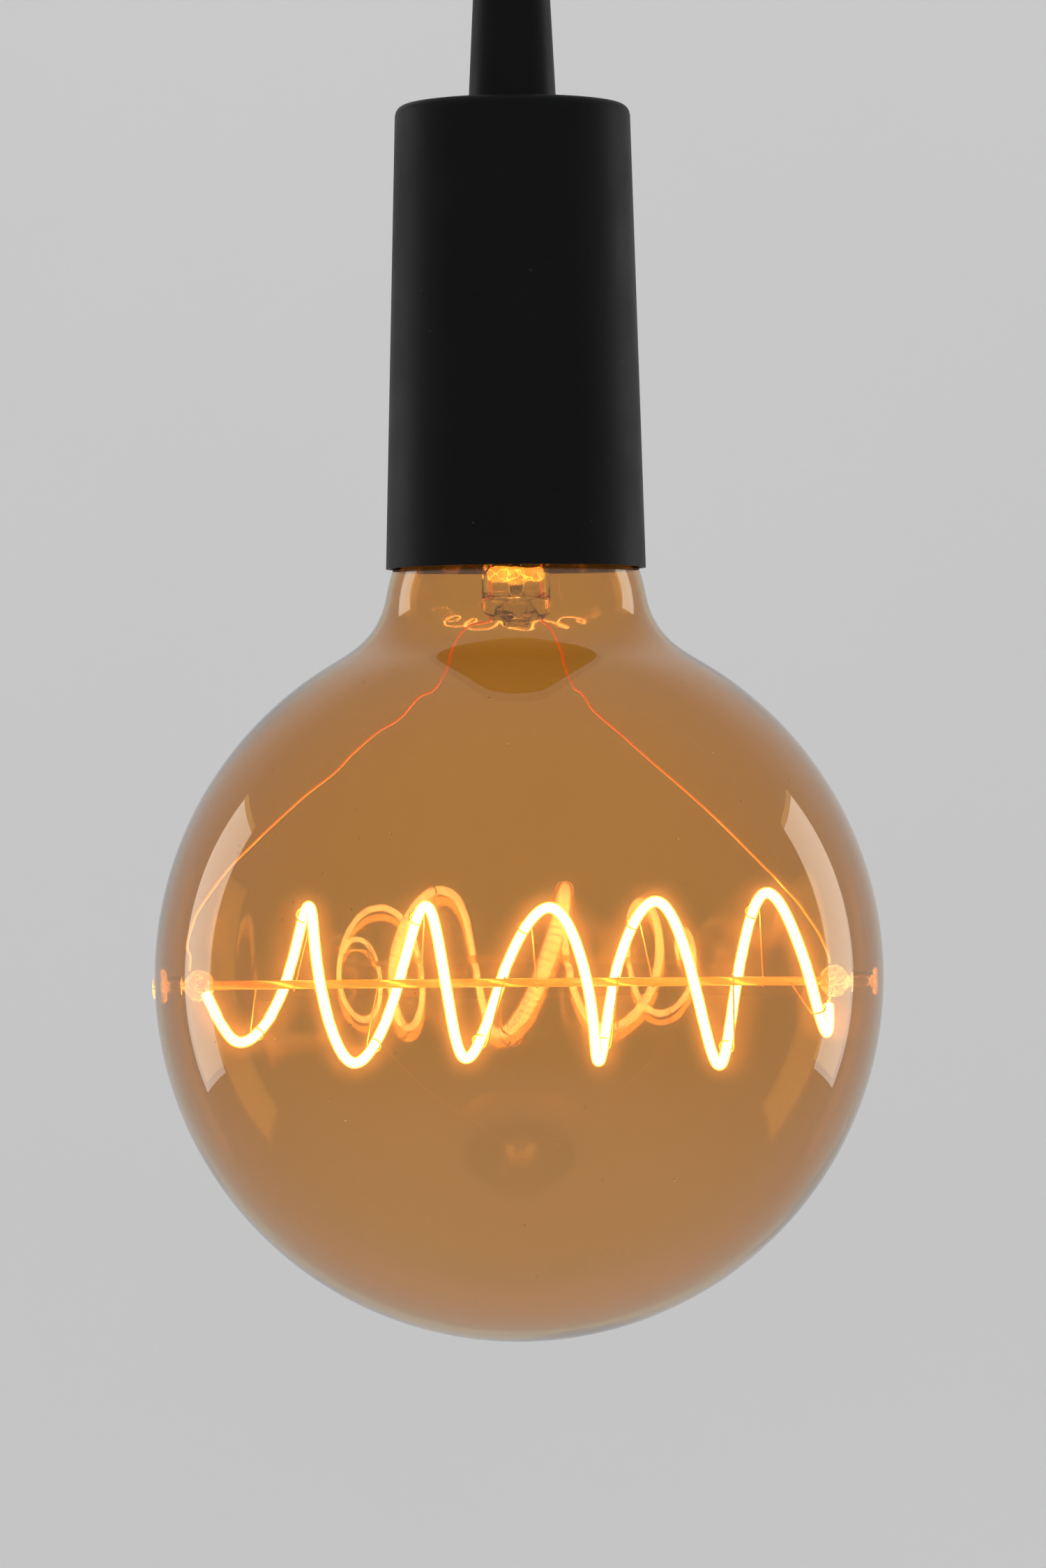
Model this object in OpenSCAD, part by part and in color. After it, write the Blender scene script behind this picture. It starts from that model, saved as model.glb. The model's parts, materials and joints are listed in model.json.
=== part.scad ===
// Globe lamp with one long light filament wound round a glass rod, screwed into a slim pendant lampholder.
// The origin is the mouth of the cord's bore, on top of the spigot. The lamp hangs down along -Z.
// The front is -Y, and the rod that carries the filament lies along X.

/* [Cover] */
// Height of the cover from its mouth to its flat top
cover_h = 79.4; // [72:0.1:92]
// Outer diameter of the cover at its mouth
cover_mouth_d = 44.6; // [44:0.1:48]
// Thickness of the cover's side
cover_wall = 1.2; // [0.9:0.1:1.4]
// Thickness of the cover's flat top
cover_top_t = 2; // [1.4:0.1:3]
// Rounding of the cover's top edge
cover_edge_r = 1.8; // [0.8:0.1:2.4]

/* [Cord spigot] */
// Length of the tapered spigot above the cover
spigot_len = 32; // [28:1:60]
// Diameter of the spigot where it stands on the cover
spigot_base_d = 15.1; // [14:0.1:20]
// Diameter of the spigot at its top
spigot_top_d = 11.9; // [10.5:0.1:13.5]
// Diameter of the bore that takes the cord
cord_bore_d = 6.6; // [5:0.1:7]
// Outer diameter of the threaded nipple that holds spigot, cover and insert together
nipple_d = 10; // [9.4:0.1:11]
// How far the nipple reaches up into the spigot
nipple_reach = 12; // [8:0.5:20]

/* [Insert] */
// Radial room between the insert and the cover at its top
insert_gap = 1.35; // [0.8:0.05:1.5]
// Wall of the insert's cap
insert_wall = 2; // [1.5:0.1:2.2]
// Wall of the insert's barrel, round the screw shell
barrel_wall = 3.2; // [2.8:0.1:4]
// Height of the block that carries the terminals
block_h = 9.2; // [8:0.1:11]
// Width of the sprung contact leaf
leaf_w = 5; // [3:0.1:6]
// Thickness of the contact leaf
leaf_t = 0.5; // [0.3:0.05:0.6]
// Side of a terminal's brass block
terminal_w = 6; // [5:0.1:7]

/* [Screw cap] */
// Outer diameter of the cap's thread
thread_d = 26.4; // [26:0.05:26.6]
// Pitch of the thread
thread_pitch = 3.629; // [3.4:0.001:3.8]
// Depth of the thread
thread_depth = 1.1; // [0.8:0.05:1.2]
// Radial play between the cap's thread and the lampholder's
thread_fit = 0.35; // [0.3:0.01:0.45]
// Length of the cap from its tip to the end of its skirt
cap_len = 26.5; // [26:0.1:28]
// Depth of the lamp's tip inside the cover's mouth
tip_depth = 42.5; // [41:0.1:46]
// Diameter of the tip contact
tip_d = 9.4; // [8:0.1:10.4]

/* [Glass] */
// Diameter of the globe
globe_d = 125; // [118:1:135]
// Distance from the cover's mouth down to the globe's centre
globe_drop = 70; // [69:0.5:78]
// Outer diameter of the neck below the cover
neck_d = 44; // [43.6:0.1:45]
// Thickness of the blown glass
glass_t = 0.9; // [0.6:0.05:1.2]
// Rounding where the neck turns in under the cover
crown_r = 5; // [3.5:0.1:6]
// Diameter of the glass inside the cap
glass_end_d = 24.4; // [23.6:0.1:24.6]

/* [Stem] */
// Outer diameter of the stem tube
stem_d = 11.8; // [11.4:0.1:13]
// How far below the cover's mouth the stem ends
stem_drop = 9.3; // [6:0.1:16]
// Diameter of the nub under the stem
nub_d = 4.7; // [3:0.1:6]
// Outer diameter of the exhaust tube
exhaust_d = 3.2; // [2.6:0.1:3.6]
// Distance of each lead wire from the lamp's axis, inside the stem
lead_x = 4.4; // [3.8:0.05:4.5]
// Diameter of the lead wires
lead_d = 0.4; // [0.3:0.05:0.5]

/* [Filament] */
// Height of the glass rod above the globe's centre
rod_up = -1.5; // [-6:0.05:6]
// How far the rod lies off the lamp's axis, towards +X
rod_shift = -0.4; // [-0.6:0.05:0.6]
// Diameter of the glass rod
rod_d = 1.5; // [1.2:0.1:2]
// Diameter of the filament
filament_d = 2; // [1.4:0.1:2.4]
// Diameter of the winding, measured at the filament's centre line
winding_d = 26.8; // [22:0.1:34]
// Diameter of the glass beads at the rod's ends
bead_d = 5.6; // [4.6:0.1:6.4]
// Diameter of the fine wires that anchor the filament
anchor_d = 0.3; // [0.2:0.05:0.4]
// Diameter of the clear glass stubs outside the beads
stub_d = 3.7; // [3.2:0.1:4.4]
// Length of the stubs, with the rod in the middle
stub_len = 3.8; // [3:0.1:5]

/* [Hidden] */
$fn = 96;

// Clearances
press_gap = 0.05;
slip_gap = 0.1;
mouth_gap = 0.3;

// Heights of the lampholder, from the origin down
top_z = -spigot_len;
ceiling_z = top_z - cover_top_t;
mouth_z = top_z - cover_h;
tip_z = mouth_z + tip_depth;
skirt_z = tip_z - cap_len;

// The screw shell's body and the insert set how wide the cover is at its top
socket_sheet = 0.55;
socket_r = thread_d / 2 + thread_fit + socket_sheet;
insert_r = socket_r + mouth_gap + barrel_wall;
cover_top_d = 2 * (insert_r + insert_gap + cover_wall);

// The spigot stands in a shallow recess of the cover
seat_h = 0.4;
spigot_foot_z = top_z - seat_h;

// The cover's taper, as radius lost per millimetre of height
cover_taper = (cover_mouth_d - cover_top_d) / 2 / cover_h;
mouth_chamfer = 0.4;
mouth_chamfer_h = 2.5;
mouth_r = cover_mouth_d / 2 - cover_wall + mouth_chamfer;

// The insert inside the cover
insert_neck_r = nipple_d / 2 + 3;
insert_neck_h = 4;
insert_roof_z = ceiling_z - insert_neck_h;
lap_h = 5.5;
lap_t = 0.9;
block_floor_z = tip_z + 1.8;
block_top_z = block_floor_z + block_h;
block_r = insert_r - insert_wall - slip_gap;
barrel_joint_z = block_top_z + 2;
barrel_floor_z = skirt_z + 0.2;
nut_h = 3;
nut_across = 1.45 * nipple_d;
nipple_foot_z = insert_roof_z - insert_wall - nut_h - 1;

// The contact leaf and its rivet, on the block's underside
leaf_pocket_r = block_r - 4.5;
leaf_pocket_h = 2.8;
leaf_roof_z = block_floor_z + leaf_pocket_h;
flange_r = leaf_pocket_r - 2;
fold_x = 1.8 - flange_r;
fold_z = leaf_roof_z - slip_gap - leaf_t / 2;
rivet_x = -flange_r;
rivet_r = 0.9;
strap_x = leaf_pocket_r + 1.6;
terminal_h = 6;
terminal_bore_r = 1.4;
terminal_screw_r = 1.5;
terminal_head_r = 2.3;

// The screw thread
thread_r = thread_d / 2;
thread_low_r = thread_r - thread_depth;
cap_shoulder_z = tip_z - 5;
cap_thread_floor_z = skirt_z + 5.2;
cap_sheet = 0.5;
skirt_r = thread_r + 0.05;
skirt_lip_r = skirt_r + 0.4;
cap_mouth_r = thread_low_r - cap_sheet;
cap_ring_r = thread_low_r - 1.1;
socket_floor_z = skirt_z + 3;
thread_sides = 30;
thread_rows = 8;

// The threaded skins have flat sides, so what lies inside them is smaller by this share
flat_share = cos(180 / thread_sides);

// The glass, from the globe's centre
globe_z = mouth_z - globe_drop;
globe_r = globe_d / 2;
globe_in_r = globe_r - glass_t;
neck_r = neck_d / 2;
entry_r = mouth_r - mouth_gap;
crown_x = neck_r - crown_r;
crown_rise = sqrt(max(0.01, pow(crown_r, 2) - pow(entry_r - crown_x, 2)));
crown_z = mouth_z - crown_rise;
shoulder_h = crown_z - globe_z;
shoulder_r = (pow(neck_r, 2) + pow(shoulder_h, 2) - pow(globe_r, 2)) / 2 / (globe_r - neck_r);
glass_end_r = glass_end_d / 2;
glass_end_z = skirt_z + 1.5;
glass_top_z = skirt_z + 4.5;
crown_reach = norm([glass_end_r - crown_x, glass_end_z - crown_z]);
crown_turn = atan2(glass_end_z - crown_z, glass_end_r - crown_x) - acos(crown_r / crown_reach);

// The stem
stem_r = stem_d / 2;
stem_z = mouth_z - stem_drop;
press_h = 1.9;
nub_h = 1.5;
stem_corner_r = 0.8;
flare_rim_r = glass_end_r - glass_t - press_gap;
flare_r = flare_rim_r - stem_r;
flare_z = glass_top_z - glass_t - flare_r;
lead_drop = 0.3;
exhaust_r = exhaust_d / 2;
exhaust_wall = 0.7;
exhaust_foot_r = 2.75;
exhaust_foot_h = 3.9;
exhaust_rise = 10;
exhaust_top_z = glass_top_z + exhaust_rise;

// The board inside the cap
board_t = 1.2;
board_y = 3.6;
board_floor_z = glass_top_z + 1.5;
board_top_z = cap_shoulder_z - 1;
board_w = 2 * sqrt(pow(cap_mouth_r, 2) - pow(board_y + board_t, 2)) - 2.4;
capacitor_h = 9.6;
resistor_up = 11;
chip_up = 4;

// The rod and what it carries
rod_z = globe_z + rod_up;
rod_r = rod_d / 2;
bead_r = bead_d / 2;
filament_r = filament_d / 2;
stub_gap = 0.25;
stub_lip_r = stub_d / 2 + 0.25;
stub_lip_t = 0.6;
stub_end_x = sqrt(pow(globe_in_r, 2) - pow(abs(rod_up) + stub_lip_r, 2)) - stub_gap;
stub_x = stub_end_x - stub_len;
bead_nose_r = 0.8;
bead_nose_len = 0.3;
bead_nose_x = stub_x + bead_nose_len;
bead_x = stub_x - bead_r;
rod_end_x = bead_x - 1.2;
anchor_r = anchor_d / 2;
anchor_loop_r = filament_r + anchor_r + 0.2;
anchor_poke = 0.5;
pip_r = 2.4;
pip_h = 0.5;

// The winding was made by hand, so its turns aren't even. Each number belongs to one quarter turn,
// in the order front, bottom, back, top. The first list is its place along the rod, in millimetres
// from the middle for a bead 54.7 mm out. The second is how far it stands out, where 1 is winding_d.
turn_places = [
    -54.2, -48.7, -40.6, -36.1, -33.6, -28.1, -20.9, -15.9, -12.4, -9.0, -3.1, 5.3,
    11.6, 13.6, 16.6, 23.6, 29.7, 34.4, 38.1, 43.0, 49.5, 53.1, 53.3
];
turn_reach = [
    0.27, 0.72, 0.86, 1.00, 1.00, 1.01, 1.00, 0.99, 0.98, 0.96, 0.96, 0.96,
    0.99, 1.01, 1.02, 1.03, 1.05, 1.07, 1.10, 1.13, 0.90, 0.62, 0.30
];
drawn_bead_x = 54.7;
winding_start = 0.17;
winding_end = 21.5;
rings_a_turn = 24;
winding_rings = round((winding_end - winding_start) / 4 * rings_a_turn);

// Where the anchors hold the winding, in quarter turns: at the back, below each top and above each bottom.
// The second list is where each stands in the rod, and the third on which side its curl starts.
anchor_places = [1.4, 2.72, 5.4, 6.62, 9.4, 10.5, 13.4, 14.5, 17.4, 18.55, 20.25];
anchor_feet = [-45.2, -38.5, -24.2, -17.0, -2.7, 3.0, 16.9, 22.9, 36.8, 41.9, 46.5];
anchor_sides = [1, -1, 1, -1, -1, -1, -1, -1, -1, -1, 1];

// Each lead's way from the stem to its bead: the share of the way out, then the share of the way down
lead_left_way = [
    [0.02, 0.010], [0.064, 0.018], [0.097, 0.039], [0.131, 0.087], [0.189, 0.166],
    [0.249, 0.192], [0.314, 0.250], [0.390, 0.290], [0.473, 0.351], [0.539, 0.411],
    [0.640, 0.479], [0.724, 0.540], [0.815, 0.608], [0.907, 0.682], [0.996, 0.778],
    [1.024, 0.820], [1.048, 0.888], [1.038, 0.917]
];
lead_right_way = [
    [0.012, 0.016], [0.034, 0.039], [0.053, 0.081], [0.068, 0.099], [0.084, 0.128],
    [0.105, 0.167], [0.137, 0.185], [0.171, 0.229], [0.262, 0.297], [0.338, 0.358],
    [0.487, 0.474], [0.604, 0.562], [0.741, 0.675], [0.790, 0.714], [0.824, 0.746],
    [0.867, 0.784], [0.897, 0.819], [0.935, 0.865], [0.956, 0.900], [0.973, 0.935]
];

// Smooth curve through a list of numbers, read at any place between the first and the last
function smooth(list, place) =
    let (last = len(list) - 1,
         i = max(0, min(last - 1, floor(place))),
         t = place - i,
         a = list[max(0, i - 1)],
         b = list[i],
         c = list[i + 1],
         d = list[min(last, i + 2)])
    b + t / 2 * (c - a + t * (2 * a - 5 * b + 4 * c - d + t * (3 * (b - c) + d - a)));

function unit(v) = v / norm(v);

// Centre line of the filament at a place counted in quarter turns
function winding_point(place) =
    let (x = smooth(turn_places, place) * bead_x / drawn_bead_x,
         r = smooth(turn_reach, place) * winding_d / 2)
    [x, -r * cos(90 * place), rod_z - r * sin(90 * place)];

function winding_outward(place) = [0, -cos(90 * place), -sin(90 * place)];

// Direction of each stretch of a path, taken from its neighbours
function path_heading(path, i) =
    unit(path[min(len(path) - 1, i + 1)] - path[max(0, i - 1)]);

// Two triangles for each field between neighbouring rings of points
function skin_faces(rings, sides, closed) =
    [for (i = [0 : closed ? rings - 1 : rings - 2], k = [0 : sides - 1])
        let (here = i * sides, next = ((i + 1) % rings) * sides, l = (k + 1) % sides)
        each [[here + k, next + k, next + l], [here + k, next + l, here + l]]];

function cap_faces(first, sides, turned) =
    [for (k = [1 : sides - 2])
        turned ? [first, first + k + 1, first + k] : [first, first + k, first + k + 1]];

// Round tube along a path. Each normal fixes where the first point of a ring lies.
module swept_tube(path, normals, r, sides) {
    rings = len(path);
    points = [for (i = [0 : rings - 1])
        let (t = path_heading(path, i),
             n = unit(normals[i] - (normals[i] * t) * t),
             b = cross(t, n))
        for (k = [0 : sides - 1])
            path[i] + r * (cos(360 * k / sides) * n + sin(360 * k / sides) * b)];
    polyhedron(points, concat(
        skin_faces(rings, sides, false),
        cap_faces(0, sides, false),
        cap_faces((rings - 1) * sides, sides, true)));
}

// Height of the thread's wave, 1 on its crest and 0 in its groove
function thread_wave(angle, z) = (1 + cos(360 * (z - tip_z) / thread_pitch - angle)) / 2;

// Closed skin round the axis through rings of [height, low radius, wave height]
module threaded_skin(rings) {
    points = [for (ring = rings, k = [0 : thread_sides - 1])
        let (a = 360 * k / thread_sides, r = ring[1] + ring[2] * thread_wave(a, ring[0]))
        [r * cos(a), r * sin(a), ring[0]]];
    polyhedron(points, skin_faces(len(rings), thread_sides, true));
}

// Fade of the thread at its ends, over half a turn
function thread_fade(z, low, high) =
    let (t = min(z - low, high - z) / (thread_pitch / 2))
    t <= 0 ? 0 : t >= 1 ? 1 : t * t * (3 - 2 * t);

// Even heights between two levels, one for each row of the thread
function thread_levels(low, high) =
    let (rows = ceil((high - low) / thread_pitch * thread_rows))
    [for (i = [0 : rows]) low + (high - low) * i / rows];

// Turned outline of round parts
module turned(points) {
    rotate_extrude() polygon(points);
}

// Cover and spigot

function cover_r(z) = cover_top_d / 2 + (top_z - z) * cover_taper;

module holder_cover() {
    inside_r = cover_edge_r - 0.6;
    color("#1b1c1c")
    rotate_extrude() difference() {
        union() {
            polygon([
                [0, mouth_z], [cover_r(mouth_z), mouth_z],
                [cover_r(top_z - cover_edge_r), top_z - cover_edge_r],
                [cover_top_d / 2 - cover_edge_r, top_z], [0, top_z]
            ]);
            translate([cover_top_d / 2 - cover_edge_r, top_z - cover_edge_r]) circle(cover_edge_r);
        }
        polygon([
            [0, mouth_z - 1], [mouth_r, mouth_z - 1], [mouth_r, mouth_z],
            [cover_r(mouth_z + mouth_chamfer_h) - cover_wall, mouth_z + mouth_chamfer_h],
            [cover_r(ceiling_z - inside_r) - cover_wall, ceiling_z - inside_r],
            [cover_r(ceiling_z) - cover_wall - inside_r, ceiling_z],
            [0, ceiling_z]
        ]);
        square([nipple_d / 2 + slip_gap, 2 * cover_h], center = true);
        translate([0, ceiling_z - 1]) square([nipple_d / 2 + slip_gap, cover_top_t + 2]);
        translate([0, spigot_foot_z]) square([spigot_base_d / 2 + slip_gap, 2 * seat_h]);
    }
}

module cord_spigot() {
    edge = 1;
    top_r = spigot_top_d / 2;
    base_r = spigot_base_d / 2;
    edge_r = top_r + (base_r - top_r) * edge / spigot_len;
    socket_h = nipple_reach + seat_h + 0.5;
    color("#1e1f1f")
    rotate_extrude() difference() {
        union() {
            polygon([
                [0, spigot_foot_z], [base_r, spigot_foot_z], [base_r, top_z],
                [edge_r, -edge], [top_r - edge, 0], [0, 0]
            ]);
            intersection() {
                translate([edge_r - edge, -edge]) circle(edge);
                translate([0, -2 * edge]) square([top_r + edge, 2 * edge]);
            }
        }
        translate([0, spigot_foot_z - 1]) square([cord_bore_d / 2, spigot_len + 2]);
        translate([0, spigot_foot_z - 1]) square([nipple_d / 2 + press_gap, socket_h + 1]);
    }
}

module entry_nipple() {
    color("#b8a26a")
    turned([
        [cord_bore_d / 2 + 0.3, nipple_foot_z], [nipple_d / 2, nipple_foot_z],
        [nipple_d / 2, top_z + nipple_reach], [cord_bore_d / 2 + 0.3, top_z + nipple_reach]
    ]);
}

module nipple_nut() {
    color("#c9b98a")
    translate([0, 0, insert_roof_z - insert_wall - nut_h])
    difference() {
        cylinder(d = nut_across / cos(30), h = nut_h, $fn = 6);
        translate([0, 0, -1]) cylinder(r = nipple_d / 2 + press_gap, h = nut_h + 2);
    }
}

// Insert

module insert_cap() {
    bore_r = nipple_d / 2 + press_gap;
    lap_r = insert_r - lap_t - slip_gap;
    corner = 1.4;
    color("#2b2b2c")
    turned([
        [bore_r, ceiling_z], [insert_neck_r, ceiling_z], [insert_neck_r, insert_roof_z],
        [insert_r - corner, insert_roof_z], [insert_r, insert_roof_z - corner],
        [insert_r, barrel_joint_z], [lap_r + slip_gap, barrel_joint_z],
        [lap_r + slip_gap, barrel_joint_z + lap_h + slip_gap],
        [insert_r - insert_wall, barrel_joint_z + lap_h + slip_gap],
        [insert_r - insert_wall, insert_roof_z - insert_wall], [bore_r, insert_roof_z - insert_wall]
    ]);
}

module insert_barrel() {
    lap_r = insert_r - lap_t - slip_gap;
    room_r = insert_r - insert_wall;
    color("#2e2e30")
    turned([
        [socket_r + mouth_gap, barrel_floor_z], [insert_r - 0.6, barrel_floor_z],
        [insert_r, barrel_floor_z + 0.6], [insert_r, barrel_joint_z],
        [lap_r, barrel_joint_z], [lap_r, barrel_joint_z + lap_h], [room_r, barrel_joint_z + lap_h],
        [room_r, block_floor_z], [socket_r + mouth_gap, block_floor_z]
    ]);
}

module contact_block() {
    color("#d8d2c4")
    difference() {
        translate([0, 0, block_floor_z]) cylinder(r = block_r, h = block_h);
        translate([0, 0, block_floor_z - 1]) cylinder(r = leaf_pocket_r, h = leaf_pocket_h + 1);
        translate([rivet_x, 0, block_floor_z]) cylinder(r = rivet_r + press_gap, h = block_h + 1);
        translate([strap_x, 0, block_floor_z - 1]) cylinder(r = rivet_r + press_gap, h = block_h + 2);
    }
}

module socket_shell() {
    groove_r = thread_r + thread_fit;
    crest_r = thread_low_r + thread_fit;
    thread_floor_z = socket_floor_z + 0.8;
    thread_roof_z = block_floor_z - 1.6;
    flange_t = 0.6;
    threads = [for (z = thread_levels(thread_floor_z, thread_roof_z))
        let (fade = thread_fade(z, thread_floor_z, thread_roof_z))
        [z, groove_r - thread_depth * fade, thread_depth * fade]];
    color("#c8a455")
    threaded_skin(concat(
        [[socket_floor_z, socket_r, 0], [block_floor_z, socket_r, 0]],
        [[block_floor_z, flange_r, 0], [block_floor_z - flange_t, flange_r, 0]],
        [[block_floor_z - flange_t, groove_r, 0]],
        [for (i = [len(threads) - 1 : -1 : 0]) threads[i]],
        [[socket_floor_z, groove_r + 0.25, 0]]));
}

// Sprung centre contact

module leaf_foot() {
    foot_end_x = fold_x - leaf_t / 2 - press_gap;
    foot_len = 3.2;
    color("#cfa94e")
    difference() {
        translate([foot_end_x - foot_len, -leaf_w / 2, fold_z - leaf_t / 2])
            cube([foot_len, leaf_w, leaf_t]);
        translate([rivet_x, 0, fold_z - 1]) cylinder(r = rivet_r + press_gap, h = 2);
    }
}

// Side view of the leaf, from its fold at the left to its turned-up end
module contact_leaf() {
    pad_x = 2.2;
    pad_z = tip_z + press_gap;
    rise = leaf_t * 1.1;
    color("#d9b75c")
    translate([0, leaf_w / 2, 0]) rotate([90, 0, 0]) linear_extrude(leaf_w) union() {
        translate([fold_x, fold_z]) circle(leaf_t / 2);
        polygon([
            [fold_x, fold_z - leaf_t / 2], [-pad_x, pad_z], [pad_x, pad_z], [pad_x + 2, pad_z + 1.2],
            [pad_x + 2, pad_z + 1.2 + leaf_t], [pad_x, pad_z + leaf_t], [-pad_x, pad_z + rise],
            [fold_x, fold_z + leaf_t / 2]
        ]);
    }
}

module leaf_rivet() {
    head_h = 0.6;
    low_z = fold_z - leaf_t / 2 - head_h;
    color("#c7c2b6")
    translate([rivet_x, 0, 0]) union() {
        translate([0, 0, low_z]) cylinder(r = rivet_r + 0.6, h = head_h);
        translate([0, 0, low_z]) cylinder(r = rivet_r, h = block_top_z - low_z);
    }
}

module shell_rivet() {
    color("#c7c2b6")
    translate([strap_x, 0, block_floor_z]) cylinder(r = rivet_r, h = block_h);
}

// Brass terminal with a bore for the wire and a bore for its clamping screw
module terminal(side) {
    color("#caa64f")
    translate([side * abs(rivet_x), 0, block_top_z]) difference() {
        translate([-terminal_w / 2, -terminal_w / 2, 0]) cube([terminal_w, terminal_w, terminal_h]);
        translate([0, terminal_w, terminal_h / 2 - 0.4]) rotate([90, 0, 0])
            cylinder(r = terminal_bore_r, h = 2 * terminal_w);
        translate([0, 0, terminal_h / 2]) cylinder(r = terminal_screw_r + press_gap, h = terminal_h);
    }
}

module terminal_screws() {
    head_h = 1.6;
    slot_w = 0.6;
    shank_z = block_top_z + terminal_h / 2 + terminal_bore_r;
    color("#b9bbbd")
    for (side = [-1, 1]) translate([side * abs(rivet_x), 0, 0]) difference() {
        union() {
            translate([0, 0, shank_z]) cylinder(r = terminal_screw_r, h = terminal_h / 2 + 1);
            translate([0, 0, block_top_z + terminal_h + press_gap])
                cylinder(r = terminal_head_r, h = head_h);
        }
        translate([-terminal_head_r - 1, -slot_w / 2, block_top_z + terminal_h + head_h / 2])
            cube([2 * terminal_head_r + 2, slot_w, head_h]);
    }
}

// Screw cap

module cap_shell() {
    threads = [for (z = thread_levels(cap_thread_floor_z, cap_shoulder_z))
        [z, thread_low_r, thread_depth * thread_fade(z, cap_thread_floor_z, cap_shoulder_z)]];
    color("#d9d4c8")
    threaded_skin(concat(
        [[skirt_z, skirt_lip_r, 0], [skirt_z + 0.8, skirt_lip_r, 0], [skirt_z + 1.4, skirt_r, 0]],
        [[cap_thread_floor_z - 0.9, skirt_r, 0]],
        threads,
        [[cap_shoulder_z + 0.8, thread_low_r - 0.3, 0], [cap_shoulder_z + 1.3, cap_ring_r + 0.4, 0]],
        [[cap_shoulder_z + 1.4, cap_ring_r, 0], [cap_shoulder_z - 0.2, cap_ring_r, 0]],
        [[cap_shoulder_z - 0.5, cap_mouth_r, 0], [cap_thread_floor_z, cap_mouth_r, 0]],
        [[cap_thread_floor_z - 0.6, skirt_r - cap_sheet, 0]],
        [[skirt_z + 1.2, skirt_r - cap_sheet, 0], [skirt_z, skirt_lip_r - cap_sheet, 0]]));
}

module cap_insulator() {
    edge_r = cap_ring_r * flat_share - press_gap;
    color("#1c1d22")
    turned([
        [0, cap_shoulder_z + 0.1], [edge_r, cap_shoulder_z + 0.1], [edge_r, cap_shoulder_z + 1.2],
        [tip_d / 2 + 0.6, tip_z - 1.2], [0, tip_z - 1.2]
    ]);
}

module tip_contact() {
    low_z = tip_z - 1.2 + press_gap;
    edge_h = 0.5;
    dome_h = tip_z - low_z - edge_h;
    dome_r = (pow(tip_d / 2, 2) + pow(dome_h, 2)) / 2 / dome_h;
    color("#c9cbcc")
    rotate_extrude() intersection() {
        translate([0, low_z]) square([tip_d / 2, tip_z - low_z]);
        translate([0, tip_z - dome_r]) circle(dome_r);
    }
}

module cap_cement() {
    low_z = glass_end_z + 0.1;
    high_z = cap_thread_floor_z - 0.9;
    inner_r = glass_end_r + press_gap;
    outer_r = (skirt_r - cap_sheet) * flat_share - press_gap;
    color("#cdbb9c")
    turned([[inner_r, low_z], [outer_r, low_z], [outer_r, high_z], [inner_r, high_z]]);
}

module driver_board() {
    color("#1f6b4a")
    translate([-board_w / 2, board_y, board_floor_z])
        cube([board_w, board_t, board_top_z - board_floor_z]);
}

module driver_capacitor() {
    can_r = 3.1;
    can_x = exhaust_r + can_r + 0.5;
    color("#26364f")
    translate([can_x, board_y - can_r - 0.2, board_floor_z + 2]) cylinder(r = can_r, h = capacitor_h);
}

module driver_chip() {
    chip = [5, 1.5, 4];
    color("#222222")
    translate([-board_w / 4 - chip[0] / 2, board_y - chip[1], board_floor_z + chip_up]) cube(chip);
}

module driver_resistor() {
    body_r = 1.1;
    body_len = 6;
    color("#b7a98a")
    translate([-board_w / 4 - body_len / 2, board_y - body_r - press_gap, board_floor_z + resistor_up])
        rotate([0, 90, 0]) cylinder(r = body_r, h = body_len);
}

// Glass

// Half section of the glass, taken t inside its outer face
module glass_section(t) {
    hinge = [neck_r + shoulder_r, crown_z];
    touch = hinge[0] * globe_r / (globe_r + shoulder_r);
    touch_z = globe_z + shoulder_h * globe_r / (globe_r + shoulder_r);
    turn = [cos(crown_turn), sin(crown_turn)];
    over = t > 0 ? 1 : 0;
    intersection() {
        translate([0, globe_z]) circle(globe_r - t);
        translate([0, globe_z - globe_r - 1]) square([globe_r + 1, globe_d + 2]);
    }
    difference() {
        polygon([[0, globe_z], [touch, touch_z], hinge, [neck_r - t, crown_z], [0, crown_z]]);
        translate(hinge) circle(shoulder_r + t);
    }
    polygon([
        [0, crown_z - 1], [neck_r - t - 0.4, crown_z - 1], [neck_r - t, crown_z],
        [crown_x + (crown_r - t) * turn[0], crown_z + (crown_r - t) * turn[1]],
        [glass_end_r - t, glass_end_z - t * tan(crown_turn / 2)],
        [glass_end_r - t, glass_top_z + over], [0, glass_top_z + over]
    ]);
    intersection() {
        translate([crown_x, crown_z]) circle(crown_r - t);
        translate([crown_x, crown_z]) square(crown_r);
    }
}

module glass_envelope() {
    pip_dome_r = (pow(pip_r, 2) + pow(pip_h + 0.3, 2)) / 2 / (pip_h + 0.3);
    color("#c98a3a", 0.35)
    union() {
        rotate_extrude() difference() {
            glass_section(0);
            glass_section(glass_t);
        }
        intersection() {
            translate([-globe_r - pip_h + pip_dome_r, 0, rod_z]) sphere(pip_dome_r);
            translate([-globe_r - pip_h - 1, 0, rod_z]) rotate([0, 90, 0])
                cylinder(r = pip_r, h = 1 + pip_h + glass_t / 2);
        }
    }
}

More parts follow.
